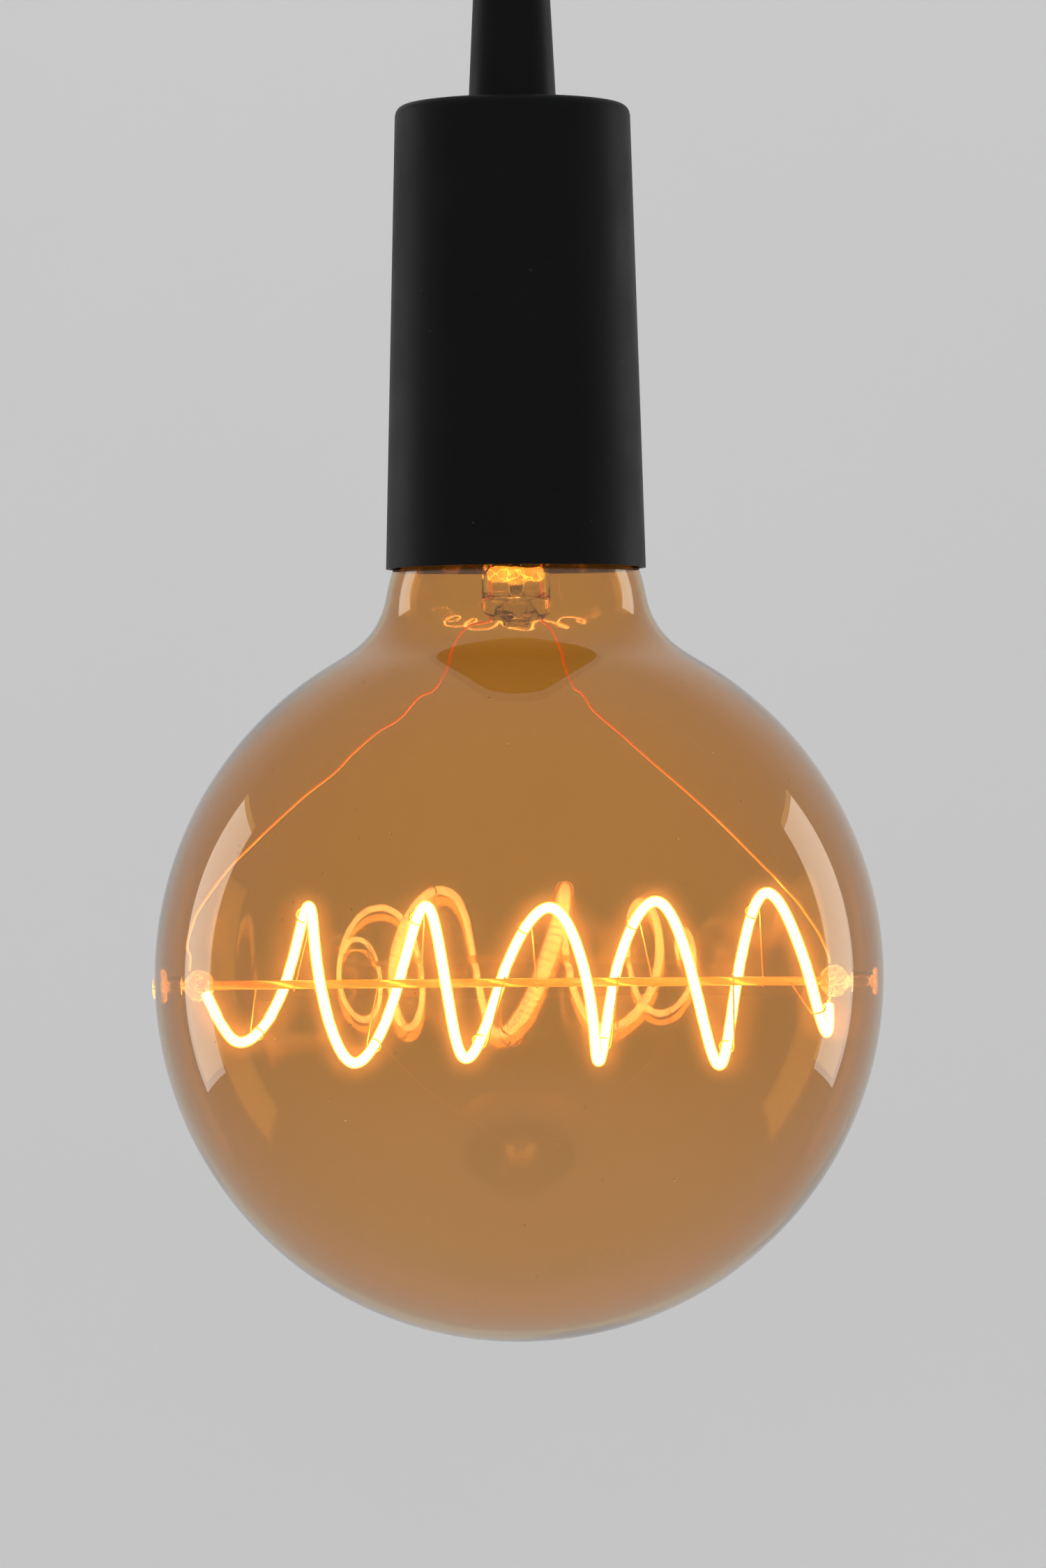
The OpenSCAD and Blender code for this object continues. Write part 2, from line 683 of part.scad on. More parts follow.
module stem_flare() {
    wall = glass_t;
    color("#e6d3b0", 0.5)
    difference() {
        rotate_extrude() union() {
            intersection() {
                difference() {
                    translate([flare_rim_r, flare_z]) circle(flare_r + wall);
                    translate([flare_rim_r, flare_z]) circle(flare_r);
                }
                translate([stem_r - wall, flare_z]) square([flare_rim_r - stem_r + wall, flare_r + wall]);
            }
            translate([stem_r - wall, stem_z + press_h]) square([wall, flare_z - stem_z - press_h]);
            difference() {
                translate([0, stem_z]) square([stem_r, press_h]);
                translate([stem_r - stem_corner_r, stem_z])
                    difference() {
                        translate([0, -1]) square([stem_corner_r + 1, stem_corner_r + 1]);
                        translate([0, stem_corner_r]) circle(stem_corner_r);
                    }
            }
            translate([0, stem_z - nub_h]) square([nub_d / 2 - 0.6, nub_h + 0.5]);
            translate([0, stem_z - nub_h + 0.6]) square([nub_d / 2, nub_h]);
            intersection() {
                translate([nub_d / 2 - 0.6, stem_z - nub_h + 0.6]) circle(0.6);
                translate([0, stem_z - nub_h]) square([nub_d, 2]);
            }
        }
        for (side = [-1, 1]) translate([side * lead_x, 0, stem_z - 1])
            cylinder(r = lead_d / 2 + slip_gap, h = press_h + 2);
    }
}

module exhaust_tube() {
    foot_z = stem_z + press_h;
    inner_r = exhaust_r - exhaust_wall;
    color("#ead9b8", 0.5)
    turned([
        [inner_r, foot_z], [exhaust_foot_r, foot_z], [exhaust_foot_r, foot_z + 1.2],
        [exhaust_r, foot_z + exhaust_foot_h], [exhaust_r, exhaust_top_z - exhaust_r],
        [inner_r / 2, exhaust_top_z], [0, exhaust_top_z],
        [0, exhaust_top_z - 2], [inner_r, exhaust_top_z - 3]
    ]);
}

// Lead wires

function lead_path(side, way) = concat(
    [[side * 5.2, board_y - lead_d / 2 - press_gap, board_floor_z + 1]],
    [[side * 5.1, 2.4, glass_top_z + 0.6], [side * lead_x, 0, flare_z - 0.5]],
    [[side * lead_x, 0, stem_z + press_h], [side * lead_x, 0, stem_z - lead_drop]],
    [for (p = way) [
        side * (lead_x + p[0] * (bead_x - lead_x)), 0, stem_z - p[1] * (stem_z - rod_z)]]);

module lead_wire(side, way, last) {
    path = concat(lead_path(side, way), [last]);
    color("#d2703a")
    swept_tube(path, [for (p = path) [0, 1, 0]], lead_d / 2, 8);
}

function bead_middle(side) = [side * bead_x + rod_shift, 0, rod_z];

// A point beside a bead, at an angle from the rod's direction in the front view
function beside_bead(side, angle, gap) =
    bead_middle(side) + (bead_r + gap) * [side * cos(angle), 0, sin(angle)];

module lead_wire_left() {
    lead_wire(-1, lead_left_way, beside_bead(-1, 58, lead_d / 2 + slip_gap));
}

module lead_wire_right() {
    lead_wire(1, lead_right_way, beside_bead(1, 106, lead_d / 2 + slip_gap));
}

// Rod, beads and stubs

module bead(side) {
    rod_hole_r = rod_r + press_gap;
    color("#e8c79a", 0.8)
    translate(bead_middle(side)) rotate([0, side * 90, 0])
    rotate_extrude() difference() {
        union() {
            intersection() {
                circle(bead_r);
                translate([0, -bead_r]) square([bead_r, 2 * bead_r]);
            }
            polygon([
                [0, 0], [bead_r * cos(30), bead_r * sin(30)],
                [bead_nose_r, bead_nose_x - bead_x], [0, bead_nose_x - bead_x]
            ]);
        }
        translate([0, -bead_r - 1]) square([rod_hole_r, bead_r + 1 - (bead_x - rod_end_x) + press_gap]);
    }
}

// Short glass tube with a lip towards the bead. Its other end nearly touches the globe's wall.
module end_stub(side) {
    hole_r = bead_nose_r + 0.35;
    tube_len = stub_len - side * rod_shift;
    color("#dfe5e2", 0.5)
    translate([side * stub_end_x, 0, rod_z]) rotate([0, -side * 90, 0])
    turned([
        [hole_r, 0], [stub_d / 2, 0], [stub_d / 2, tube_len - stub_lip_t - 0.25],
        [stub_lip_r, tube_len - stub_lip_t], [stub_lip_r, tube_len], [hole_r, tube_len]
    ]);
}

// An anchor's foot in the rod, then the frame of its curl: from the foot to the filament, and aside
function anchor_foot(i) = [anchor_feet[i] * bead_x / drawn_bead_x, 0, rod_z];

function anchor_out(i) = unit(winding_point(anchor_places[i]) - anchor_foot(i));

function anchor_across(i) =
    let (place = anchor_places[i],
         out = anchor_out(i),
         way = winding_point(place + 0.05) - winding_point(place - 0.05))
    unit(way - (way * out) * out);

function anchor_aside(i) = anchor_sides[i] * cross(anchor_across(i), anchor_out(i));

function anchor_lean(i) = asin(anchor_loop_r / norm(winding_point(anchor_places[i]) - anchor_foot(i)));

function anchor_heading(i) =
    cos(anchor_lean(i)) * anchor_out(i) + sin(anchor_lean(i)) * anchor_aside(i);

module support_rod() {
    color("#d9a062", 0.8)
    difference() {
        translate([rod_shift - rod_end_x, 0, rod_z]) rotate([0, 90, 0])
            cylinder(r = rod_r, h = 2 * rod_end_x);
        for (i = [0 : len(anchor_places) - 1]) {
            way = anchor_heading(i);
            across = anchor_across(i);
            side = cross(way, across);
            translate(anchor_foot(i))
            multmatrix([
                [across[0], side[0], way[0], 0],
                [across[1], side[1], way[1], 0],
                [across[2], side[2], way[2], 0]
            ])
            cylinder(r = anchor_r + slip_gap, h = 2 * rod_d, center = true);
        }
    }
}

// Fine wire through the rod, with its end curled round the filament
module anchor_wire(number) {
    i = number - 1;
    curl_rings = 8;
    curl = 290;
    path = concat(
        [anchor_foot(i) - (rod_r + anchor_poke) * anchor_heading(i)],
        [for (k = [0 : curl_rings])
            let (a = 90 + anchor_lean(i) - curl * k / curl_rings)
            winding_point(anchor_places[i])
                + anchor_loop_r * (cos(a) * anchor_out(i) + sin(a) * anchor_aside(i))]);
    color("#b9602c")
    swept_tube(path, [for (p = path) anchor_across(i)], anchor_r, 6);
}

// Filament

winding_places = [for (i = [0 : winding_rings])
    winding_start + (winding_end - winding_start) * i / winding_rings];
winding = [for (p = winding_places) winding_point(p)];

// Least gap between the filament's turns, from points at least half a turn apart
winding_gap = min([for (i = [0 : winding_rings], j = [i + rings_a_turn / 2 : 1 : winding_rings])
    norm(winding[i] - winding[j])]) - filament_d;
echo(least_gap_between_turns = winding_gap);

module led_filament() {
    color("#ffb648")
    swept_tube(winding, [for (p = winding_places) winding_outward(p)], filament_r, 6);
}

// Metal tab from one end of the filament to its bead
module filament_tab(side) {
    end = side < 0 ? winding[0] : winding[winding_rings];
    heading = side < 0 ? -path_heading(winding, 0) : path_heading(winding, winding_rings);
    near = end + (slip_gap + 0.2) * heading;
    far = bead_middle(side) + (bead_r + 0.35) * unit(near - bead_middle(side));
    color("#c9b48a")
    hull() {
        translate(near) sphere(0.3, $fn = 12);
        translate(far) sphere(0.3, $fn = 12);
    }
}

holder_cover();
cord_spigot();
entry_nipple();
nipple_nut();
insert_cap();
insert_barrel();
contact_block();
socket_shell();
leaf_foot();
contact_leaf();
leaf_rivet();
shell_rivet();
terminal(-1);  // terminal_live
terminal(1);  // terminal_neutral
terminal_screws();
cap_shell();
cap_insulator();
tip_contact();
cap_cement();
driver_board();
driver_capacitor();
driver_chip();
driver_resistor();
glass_envelope();
stem_flare();
exhaust_tube();
lead_wire_left();
lead_wire_right();
bead(-1);  // bead_left
bead(1);  // bead_right
end_stub(-1);  // end_stub_left
end_stub(1);  // end_stub_right
support_rod();
led_filament();
filament_tab(-1);  // filament_tab_left
filament_tab(1);  // filament_tab_right
anchor_wire(1);  // anchor_wire_1
anchor_wire(2);  // anchor_wire_2
anchor_wire(3);  // anchor_wire_3
anchor_wire(4);  // anchor_wire_4
anchor_wire(5);  // anchor_wire_5
anchor_wire(6);  // anchor_wire_6
anchor_wire(7);  // anchor_wire_7
anchor_wire(8);  // anchor_wire_8
anchor_wire(9);  // anchor_wire_9
anchor_wire(10);  // anchor_wire_10
anchor_wire(11);  // anchor_wire_11
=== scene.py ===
import json
import math

import bmesh
import bpy
from mathutils import Matrix, Vector, noise


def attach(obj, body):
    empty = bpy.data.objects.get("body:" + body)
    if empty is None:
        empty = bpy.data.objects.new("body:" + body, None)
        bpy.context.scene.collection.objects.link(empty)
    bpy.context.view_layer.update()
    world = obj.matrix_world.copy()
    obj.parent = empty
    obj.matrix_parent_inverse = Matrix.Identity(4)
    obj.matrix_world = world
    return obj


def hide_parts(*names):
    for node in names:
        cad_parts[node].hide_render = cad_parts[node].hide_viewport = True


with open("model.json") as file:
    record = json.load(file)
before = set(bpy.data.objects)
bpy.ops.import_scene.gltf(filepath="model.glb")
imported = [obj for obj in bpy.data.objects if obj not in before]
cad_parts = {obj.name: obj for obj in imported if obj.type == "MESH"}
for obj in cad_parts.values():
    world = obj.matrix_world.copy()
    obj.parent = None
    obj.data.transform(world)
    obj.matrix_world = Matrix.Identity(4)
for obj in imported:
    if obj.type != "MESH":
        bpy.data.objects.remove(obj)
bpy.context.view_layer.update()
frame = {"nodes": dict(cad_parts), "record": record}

# Without a seed, the noise that crumples the stem would start from the clock
CRUMPLE_SEED = 7
noise.seed_set(CRUMPLE_SEED)

# Sizes in millimetres, repeated from the part's source. The origin is the mouth of the cord's bore.
GLOBE_R = 62.5
GLOBE_Z = -181.4
GLASS_T = 0.9
GLASS_SAG = 0.55
NECK_R = 22.0
CROWN_R = 5.0
CROWN_X = NECK_R - CROWN_R
CROWN_Z = -114.113
GLASS_END_R = 12.2
GLASS_END_Z = -93.9
GLASS_TOP_Z = -90.9
PIP_R = 2.4
PIP_H = 0.5
PIP_SPREAD = 1.25
SAG_TOP_Z = -124
SAG_SPAN = 26
SHOULDER_LOW_Z = -128
FINE_ROWS_REACH = 4

ROD_R = 0.75
ROD_Z = -182.9
ROD_SHIFT = -0.4
BEAD_R = 2.8
BEAD_X = 54.642
STUB_X = 57.442
STUB_END_X = 61.242
STUB_R = 1.85
STUB_LIP_R = 2.1
STUB_BORE_R = 1.15
STUB_LIP_T = 0.6

STEM_R = 5.9
STEM_IN_R = 5.0
STEM_Z = -120.7
PRESS_H = 1.9
NUB_R = 2.35
NUB_H = 1.5
EXHAUST_R = 1.6
EXHAUST_IN_R = 0.9
EXHAUST_TOP_Z = -80.9
LEAD_X = 4.4
LEAD_R = 0.2
FLARE_RIM_R = 11.25
FLARE_R = 5.35
FLARE_Z = -97.15

WINDING_R = 13.4
WINDING_STEPS = 640
FILAMENT_R = 1.0
CORE_R = 0.8
CHIP_PITCH_M = 0.00085
DRAWN_BEAD_X = 54.7
TURN_PLACES = [
    -54.2, -48.7, -40.6, -36.1, -33.6, -28.1, -20.9, -15.9, -12.4, -9.0, -3.1, 5.3,
    11.6, 13.6, 16.6, 23.6, 29.7, 34.4, 38.1, 43.0, 49.5, 53.1, 53.3,
]
TURN_REACH = [
    0.27, 0.72, 0.86, 1.00, 1.00, 1.01, 1.00, 0.99, 0.98, 0.96, 0.96, 0.96,
    0.99, 1.01, 1.02, 1.03, 1.05, 1.07, 1.10, 1.13, 0.90, 0.62, 0.30,
]
WINDING_START = 0.17
WINDING_END = 21.5

ANCHOR_R = 0.15
ANCHOR_GAP = 0.2
ANCHOR_POKE = 0.5
ANCHOR_CURL = 290
ANCHOR_RINGS = 24
ANCHOR_PLACES = [1.4, 2.72, 5.4, 6.62, 9.4, 10.5, 13.4, 14.5, 17.4, 18.55, 20.25]
ANCHOR_FEET = [-45.2, -38.5, -24.2, -17.0, -2.7, 3.0, 16.9, 22.9, 36.8, 41.9, 46.5]
ANCHOR_SIDES = [1, -1, 1, -1, -1, -1, -1, -1, -1, -1, 1]

LEAD_LEFT_WAY = [
    (0.02, 0.010), (0.064, 0.018), (0.097, 0.039), (0.131, 0.087), (0.189, 0.166),
    (0.249, 0.192), (0.314, 0.250), (0.390, 0.290), (0.473, 0.351), (0.539, 0.411),
    (0.640, 0.479), (0.724, 0.540), (0.815, 0.608), (0.907, 0.682), (0.996, 0.778),
    (1.024, 0.820), (1.048, 0.888), (1.038, 0.917),
]
LEAD_RIGHT_WAY = [
    (0.012, 0.016), (0.034, 0.039), (0.053, 0.081), (0.068, 0.099), (0.084, 0.128),
    (0.105, 0.167), (0.137, 0.185), (0.171, 0.229), (0.262, 0.297), (0.338, 0.358),
    (0.487, 0.474), (0.604, 0.562), (0.741, 0.675), (0.790, 0.714), (0.824, 0.746),
    (0.867, 0.784), (0.897, 0.819), (0.935, 0.865), (0.956, 0.900), (0.973, 0.935),
]

# The photo's view, and the studio in metres and strengths
CAMERA_LENS = 146.69
CAMERA_LEAN = -0.45
CAMERA_PLACE = (0.00092, -1.096, -0.1484)
STUDIO_LIGHT = 0.5
STUDIO_SEEN = 0.41
FLOOR_Z = -1.4
FLOOR_REACH = 14.0
FLOOR_BEND_Y = 1.6
FLOOR_BEND_R = 1.0
BACKDROP_TOP_Z = 7.0


# Pieces made of points and faces

def add_object(name, mesh):
    thing = bpy.data.objects.new(name, mesh)
    bpy.context.scene.collection.objects.link(thing)
    return thing


def mesh_piece(name, points_mm, faces):
    mesh = bpy.data.meshes.new(name)
    mesh.from_pydata([(x / 1000, y / 1000, z / 1000) for x, y, z in points_mm], [], faces)
    mesh.polygons.foreach_set("use_smooth", [True] * len(faces))
    mesh.update()
    return add_object(name, mesh)


def arc(cx, cz, r, first, last, steps):
    """Points (r, z) on an arc, angles in degrees, both ends included."""
    turns = [math.radians(first + (last - first) * i / steps) for i in range(steps + 1)]
    return [(cx + r * math.cos(a), cz + r * math.sin(a)) for a in turns]


def straight(a, b, steps):
    """Points between a and b, without the ends."""
    return [
        (a[0] + (b[0] - a[0]) * i / steps, a[1] + (b[1] - a[1]) * i / steps)
        for i in range(1, steps)
    ]


def lathe_faces(outline, sides, closed):
    """Faces of a turned shape. A row at the axis has one point."""
    starts = []
    count = 0
    for r, _ in outline:
        starts.append(count)
        count += sides if r > 1e-6 else 1
    faces = []
    pairs = [(i, i + 1) for i in range(len(outline) - 1)]
    if closed:
        pairs.append((len(outline) - 1, 0))
    for i, j in pairs:
        pole_i = outline[i][0] <= 1e-6
        pole_j = outline[j][0] <= 1e-6
        if pole_i and pole_j:
            continue
        for k in range(sides):
            after = (k + 1) % sides
            if pole_i:
                faces.append((starts[i], starts[j] + after, starts[j] + k))
            elif pole_j:
                faces.append((starts[i] + k, starts[i] + after, starts[j]))
            else:
                faces.append((starts[i] + k, starts[i] + after, starts[j] + after, starts[j] + k))
    return faces


def lathe(name, outline, angles, closed=False, change=None):
    """Turned shape from (r, z) points, walked so that the outside lies to the right of the way.
    A closed outline is joined back to its first point, and change moves each point at the end."""
    points = []
    for r, z in outline:
        if r <= 1e-6:
            points.append((0, 0, z))
            continue
        for a in angles:
            points.append((r * math.cos(a), r * math.sin(a), z))
    if change:
        points = [change(p) for p in points]
    return mesh_piece(name, points, lathe_faces(outline, len(angles), closed))


def even_angles(sides):
    return [2 * math.pi * k / sides for k in range(sides)]


def turn_about(thing, matrix):
    """Turns or moves the piece's points, so that its object stays at the origin."""
    thing.data.transform(matrix)
    thing.data.update()


# Shader building

def feed(tree, node, inputs):
    """Sets a node's sockets. Each value is another node's output, or a plain value."""
    for key, value in (inputs or {}).items():
        socket = node.inputs[key]
        if isinstance(value, bpy.types.NodeSocket):
            tree.links.new(value, socket)
        else:
            socket.default_value = value
    return node


def add(tree, kind, inputs=None, **settings):
    node = tree.nodes.new(kind)
    for key, value in settings.items():
        setattr(node, key, value)
    return feed(tree, node, inputs)


def shader_group(name, ins, outs):
    """Empty shader group with named sockets. Returns the tree, its input node and its output node."""
    tree = bpy.data.node_groups.new(name, "ShaderNodeTree")
    for label, kind, value in ins:
        socket = tree.interface.new_socket(label, in_out="INPUT", socket_type=kind)
        socket.default_value = value
    for label, kind in outs:
        tree.interface.new_socket(label, in_out="OUTPUT", socket_type=kind)
    return tree, tree.nodes.new("NodeGroupInput"), tree.nodes.new("NodeGroupOutput")


def use(tree, group, inputs=None):
    return add(tree, "ShaderNodeGroup", inputs, node_tree=group)


def grain_group():
    """Fine grain of moulded or cast surfaces: a height, and a mask of cloudy patches."""
    tree, start, end = shader_group("fine_grain", [
        ("Grain Size", "NodeSocketFloat", 2500.0),
        ("Patch Size", "NodeSocketFloat", 60.0),
    ], [("Height", "NodeSocketFloat"), ("Patches", "NodeSocketFloat")])
    place = add(tree, "ShaderNodeTexCoord").outputs["Object"]
    fine = add(tree, "ShaderNodeTexNoise", {
        "Vector": place, "Scale": start.outputs["Grain Size"], "Detail": 2.0, "Roughness": 0.6})
    wide = add(tree, "ShaderNodeTexNoise", {
        "Vector": place, "Scale": start.outputs["Patch Size"], "Detail": 4.0, "Roughness": 0.55})
    patches = add(tree, "ShaderNodeMapRange", {
        "Value": wide.outputs["Fac"], "From Min": 0.3, "From Max": 0.7})
    tree.links.new(fine.outputs["Fac"], end.inputs["Height"])
    tree.links.new(patches.outputs["Result"], end.inputs["Patches"])
    return tree


def dust_group():
    """Sparse dust: a mask that is 1 on small specks. The amount is the share of specks that stay."""
    tree, start, end = shader_group("dust", [
        ("Scale", "NodeSocketFloat", 900.0),
        ("Amount", "NodeSocketFloat", 0.2),
    ], [("Mask", "NodeSocketFloat")])
    place = add(tree, "ShaderNodeTexCoord").outputs["Object"]
    cells = add(tree, "ShaderNodeTexVoronoi", {"Vector": place, "Scale": start.outputs["Scale"]})
    speck = add(tree, "ShaderNodeMapRange", {
        "Value": cells.outputs["Distance"],
        "From Min": 0.05,
        "From Max": 0.16,
        "To Min": 1.0,
        "To Max": 0.0})
    chosen = add(tree, "ShaderNodeSeparateColor", {"Color": cells.outputs["Color"]})
    kept = add(tree, "ShaderNodeMath", {0: chosen.outputs["Red"], 1: start.outputs["Amount"]},
               operation="LESS_THAN")
    mask = add(tree, "ShaderNodeMath", {0: speck.outputs["Result"], 1: kept.outputs["Value"]},
               operation="MULTIPLY")
    tree.links.new(mask.outputs["Value"], end.inputs["Mask"])
    return tree


def turned_lines_group():
    """Fine rings round the axis, as turning, rolling and drawing leave them."""
    tree, start, end = shader_group("turned_lines", [
        ("Lines", "NodeSocketFloat", 1400.0),
    ], [("Height", "NodeSocketFloat"), ("Streaks", "NodeSocketFloat")])
    place = add(tree, "ShaderNodeTexCoord").outputs["Object"]
    flat = add(tree, "ShaderNodeMapping", {"Vector": place, "Scale": (6.0, 6.0, 1.0)})
    wander = add(tree, "ShaderNodeTexNoise", {"Vector": flat.outputs["Vector"], "Scale": 20.0})
    height = add(tree, "ShaderNodeSeparateXYZ", {"Vector": place})
    shifted = add(tree, "ShaderNodeMath", {
        0: wander.outputs["Fac"], 1: 0.001, 2: height.outputs["Z"]}, operation="MULTIPLY_ADD")
    line = add(tree, "ShaderNodeCombineXYZ", {"Z": shifted.outputs["Value"]})
    rings = add(tree, "ShaderNodeTexNoise", {
        "Vector": line.outputs["Vector"],
        "Scale": start.outputs["Lines"],
        "Detail": 3.0,
        "Roughness": 0.7})
    soft = add(tree, "ShaderNodeTexNoise", {"Vector": place, "Scale": 140.0, "Detail": 5.0})
    streaks = add(tree, "ShaderNodeMath", {0: rings.outputs["Fac"], 1: soft.outputs["Fac"]},
                  operation="MULTIPLY")
    tree.links.new(rings.outputs["Fac"], end.inputs["Height"])
    tree.links.new(streaks.outputs["Value"], end.inputs["Streaks"])
    return tree


def glass_flow_group():
    """Slow unevenness of blown glass and a few fine cords in it, as a height."""
    tree, start, end = shader_group("glass_flow", [
        ("Wide", "NodeSocketFloat", 22.0),
        ("Cords", "NodeSocketFloat", 90.0),
        ("Cord Share", "NodeSocketFloat", 0.15),
    ], [("Height", "NodeSocketFloat")])
    place = add(tree, "ShaderNodeTexCoord").outputs["Object"]
    slow = add(tree, "ShaderNodeTexNoise", {
        "Vector": place, "Scale": start.outputs["Wide"], "Detail": 1.0})
    tall = add(tree, "ShaderNodeMapping", {"Vector": place, "Scale": (1.0, 1.0, 0.35)})
    cords = add(tree, "ShaderNodeTexNoise", {
        "Vector": tall.outputs["Vector"], "Scale": start.outputs["Cords"], "Detail": 1.0})
    height = add(tree, "ShaderNodeMath", {
        0: cords.outputs["Fac"], 1: start.outputs["Cord Share"], 2: slow.outputs["Fac"]},
        operation="MULTIPLY_ADD")
    tree.links.new(height.outputs["Value"], end.inputs["Height"])
    return tree


def painted_glint_folds_group():
    """Thin curling lines for painted glints, where folds in melted glass would gather light: a mask that
    is 1 along each fold.
    """
    tree, start, end = shader_group("painted_glint_folds", [
        ("Scale", "NodeSocketFloat", 300.0),
        ("Width", "NodeSocketFloat", 0.05),
    ], [("Mask", "NodeSocketFloat")])
    place = add(tree, "ShaderNodeTexCoord").outputs["Object"]
    waves = add(tree, "ShaderNodeTexNoise", {
        "Vector": place,
        "Scale": start.outputs["Scale"],
        "Detail": 1.5,
        "Roughness": 0.5,
        "Distortion": 0.6})
    away = add(tree, "ShaderNodeMath", {0: waves.outputs["Fac"], 1: 0.5}, operation="SUBTRACT")
    near = add(tree, "ShaderNodeMath", {0: away.outputs["Value"]}, operation="ABSOLUTE")
    mask = add(tree, "ShaderNodeMapRange", {
        "Value": near.outputs["Value"],
        "From Max": start.outputs["Width"],
        "To Min": 1.0,
        "To Max": 0.0})
    tree.links.new(mask.outputs["Result"], end.inputs["Mask"])
    return tree


GRAIN = grain_group()
DUST = dust_group()
PAINTED_GLINT_FOLDS = painted_glint_folds_group()
TURNED_LINES = turned_lines_group()
GLASS_FLOW = glass_flow_group()


def new_material(name):
    made = bpy.data.materials.new(name)
    made.use_nodes = True
    made.node_tree.nodes.clear()
    return made, made.node_tree


def finish_material(made, surface):
    tree = made.node_tree
    end = tree.nodes.new("ShaderNodeOutputMaterial")
    tree.links.new(surface, end.inputs["Surface"])
    return made


def mixed_colour(tree, share, first, second):
    """Colour between two, by a mask."""
    mix = add(tree, "ShaderNodeMix", data_type="RGBA")
    mix.inputs[6].default_value = (*first, 1)
    mix.inputs[7].default_value = (*second, 1)
    tree.links.new(share, mix.inputs[0])
    return mix.outputs[2]


def ranged(tree, value, low, high):
    """A mask of 0 to 1, stretched to run from low to high."""
    spread = add(tree, "ShaderNodeMapRange", {"Value": value, "To Min": low, "To Max": high})
    return spread.outputs["Result"]


def relief_of(tree, height, strength, distance):
    """Normal of a surface that a height makes uneven."""
    bump = add(tree, "ShaderNodeBump", {"Height": height, "Strength": strength, "Distance": distance})
    return bump.outputs["Normal"]


def moulded(name, dark, light, rough, grain_size, bump, dust=0.02, specular=0.5):
    """Moulded plastic, porcelain or a painted skin: fine grain, cloudy tone and a little dust."""
    made, tree = new_material(name)
    grain = use(tree, GRAIN, {"Grain Size": grain_size, "Patch Size": 70.0})
    specks = use(tree, DUST, {"Scale": 700.0, "Amount": dust})
    base = mixed_colour(tree, grain.outputs["Patches"], dark, light)
    dusty = add(tree, "ShaderNodeMix", data_type="RGBA")
    tree.links.new(specks.outputs["Mask"], dusty.inputs[0])
    tree.links.new(base, dusty.inputs[6])
    dusty.inputs[7].default_value = (*[min(1, 0.02 + 3 * c) for c in light], 1)
    skin = add(tree, "ShaderNodeBsdfPrincipled", {
        "Base Color": dusty.outputs[2],
        "Roughness": ranged(tree, grain.outputs["Patches"], rough - 0.05, rough + 0.06),
        "Specular IOR Level": specular,
        "Normal": relief_of(tree, grain.outputs["Height"], bump, 0.00005)})
    return finish_material(made, skin.outputs["BSDF"])


def turned_metal(name, bright, dull, rough, lines=1400.0):
    """Rolled, drawn or turned metal with fine rings and a duller film in patches."""
    made, tree = new_material(name)
    rings = use(tree, TURNED_LINES, {"Lines": lines})
    grain = use(tree, GRAIN, {"Grain Size": 3200.0, "Patch Size": 180.0})
    base = mixed_colour(tree, grain.outputs["Patches"], bright, dull)
    skin = add(tree, "ShaderNodeBsdfPrincipled", {
        "Base Color": base,
        "Metallic": 1.0,
        "Roughness": ranged(tree, rings.outputs["Streaks"], rough - 0.06, rough + 0.22),
        "Normal": relief_of(tree, rings.outputs["Height"], 0.3, 0.00004)})
    return finish_material(made, skin.outputs["BSDF"])


def clear_for_shadows(tree, glass, tint):
    """Glass that lets lamp light through straight, as a thin wall does."""
    through = add(tree, "ShaderNodeBsdfTransparent", {"Color": (*tint, 1)})
    ray = add(tree, "ShaderNodeLightPath")
    mix = add(tree, "ShaderNodeMixShader", {0: ray.outputs["Is Shadow Ray"]})
    tree.links.new(glass, mix.inputs[1])
    tree.links.new(through.outputs["BSDF"], mix.inputs[2])
    return mix.outputs["Shader"]


def clear_wall(tree, base, flow, bump, ior):
    """Clear glass with the slow unevenness that its flow gives it."""
    wall = add(tree, "ShaderNodeBsdfPrincipled", {
        "Base Color": base,
        "Metallic": 0.0,
        "Roughness": 0.0,
        "IOR": ior,
        "Transmission Weight": 1.0,
        "Normal": relief_of(tree, flow.outputs["Height"], bump, 0.0004)})
    return wall.outputs["BSDF"]


def deeper_at_slant(tree, base, edge):
    """The tint of a coat, deeper towards the rim, where it is crossed at a slant."""
    slant = add(tree, "ShaderNodeLayerWeight", {"Blend": 0.5})
    share = add(tree, "ShaderNodeMath", {0: slant.outputs["Facing"], 1: 2.4}, operation="POWER")
    deepened = add(tree, "ShaderNodeMix", data_type="RGBA")
    tree.links.new(share.outputs["Value"], deepened.inputs[0])
    tree.links.new(base, deepened.inputs[6])
    deepened.inputs[7].default_value = (*edge, 1)
    return deepened.outputs[2]


def coated_glass(name, tint, tint_thick, edge, haze, ior):
    """Blown glass with an amber coat that bends and mirrors light more than bare glass does.
    Haze is the share of the wall with a fine film, which spreads the light of the filament."""
    made, tree = new_material(name)
    flow = use(tree, GLASS_FLOW, {"Wide": 22.0})
    base = deeper_at_slant(tree, mixed_colour(tree, flow.outputs["Height"], tint, tint_thick), edge)
    wall = clear_wall(tree, base, flow, 0.2, ior)
    film = add(tree, "ShaderNodeBsdfRefraction", {"Color": base, "Roughness": 0.22, "IOR": ior})
    both = add(tree, "ShaderNodeMixShader", {0: haze, 1: wall, 2: film.outputs["BSDF"]})
    return finish_material(made, clear_for_shadows(tree, both.outputs["Shader"], tint))


def bare_glass(name, tint, tint_thick, bump, wide):
    """Drawn or blown glass without a coat."""
    made, tree = new_material(name)
    flow = use(tree, GLASS_FLOW, {"Wide": wide})
    base = mixed_colour(tree, flow.outputs["Height"], tint, tint_thick)
    wall = clear_wall(tree, base, flow, bump, 1.5)
    return finish_material(made, clear_for_shadows(tree, wall, tint))


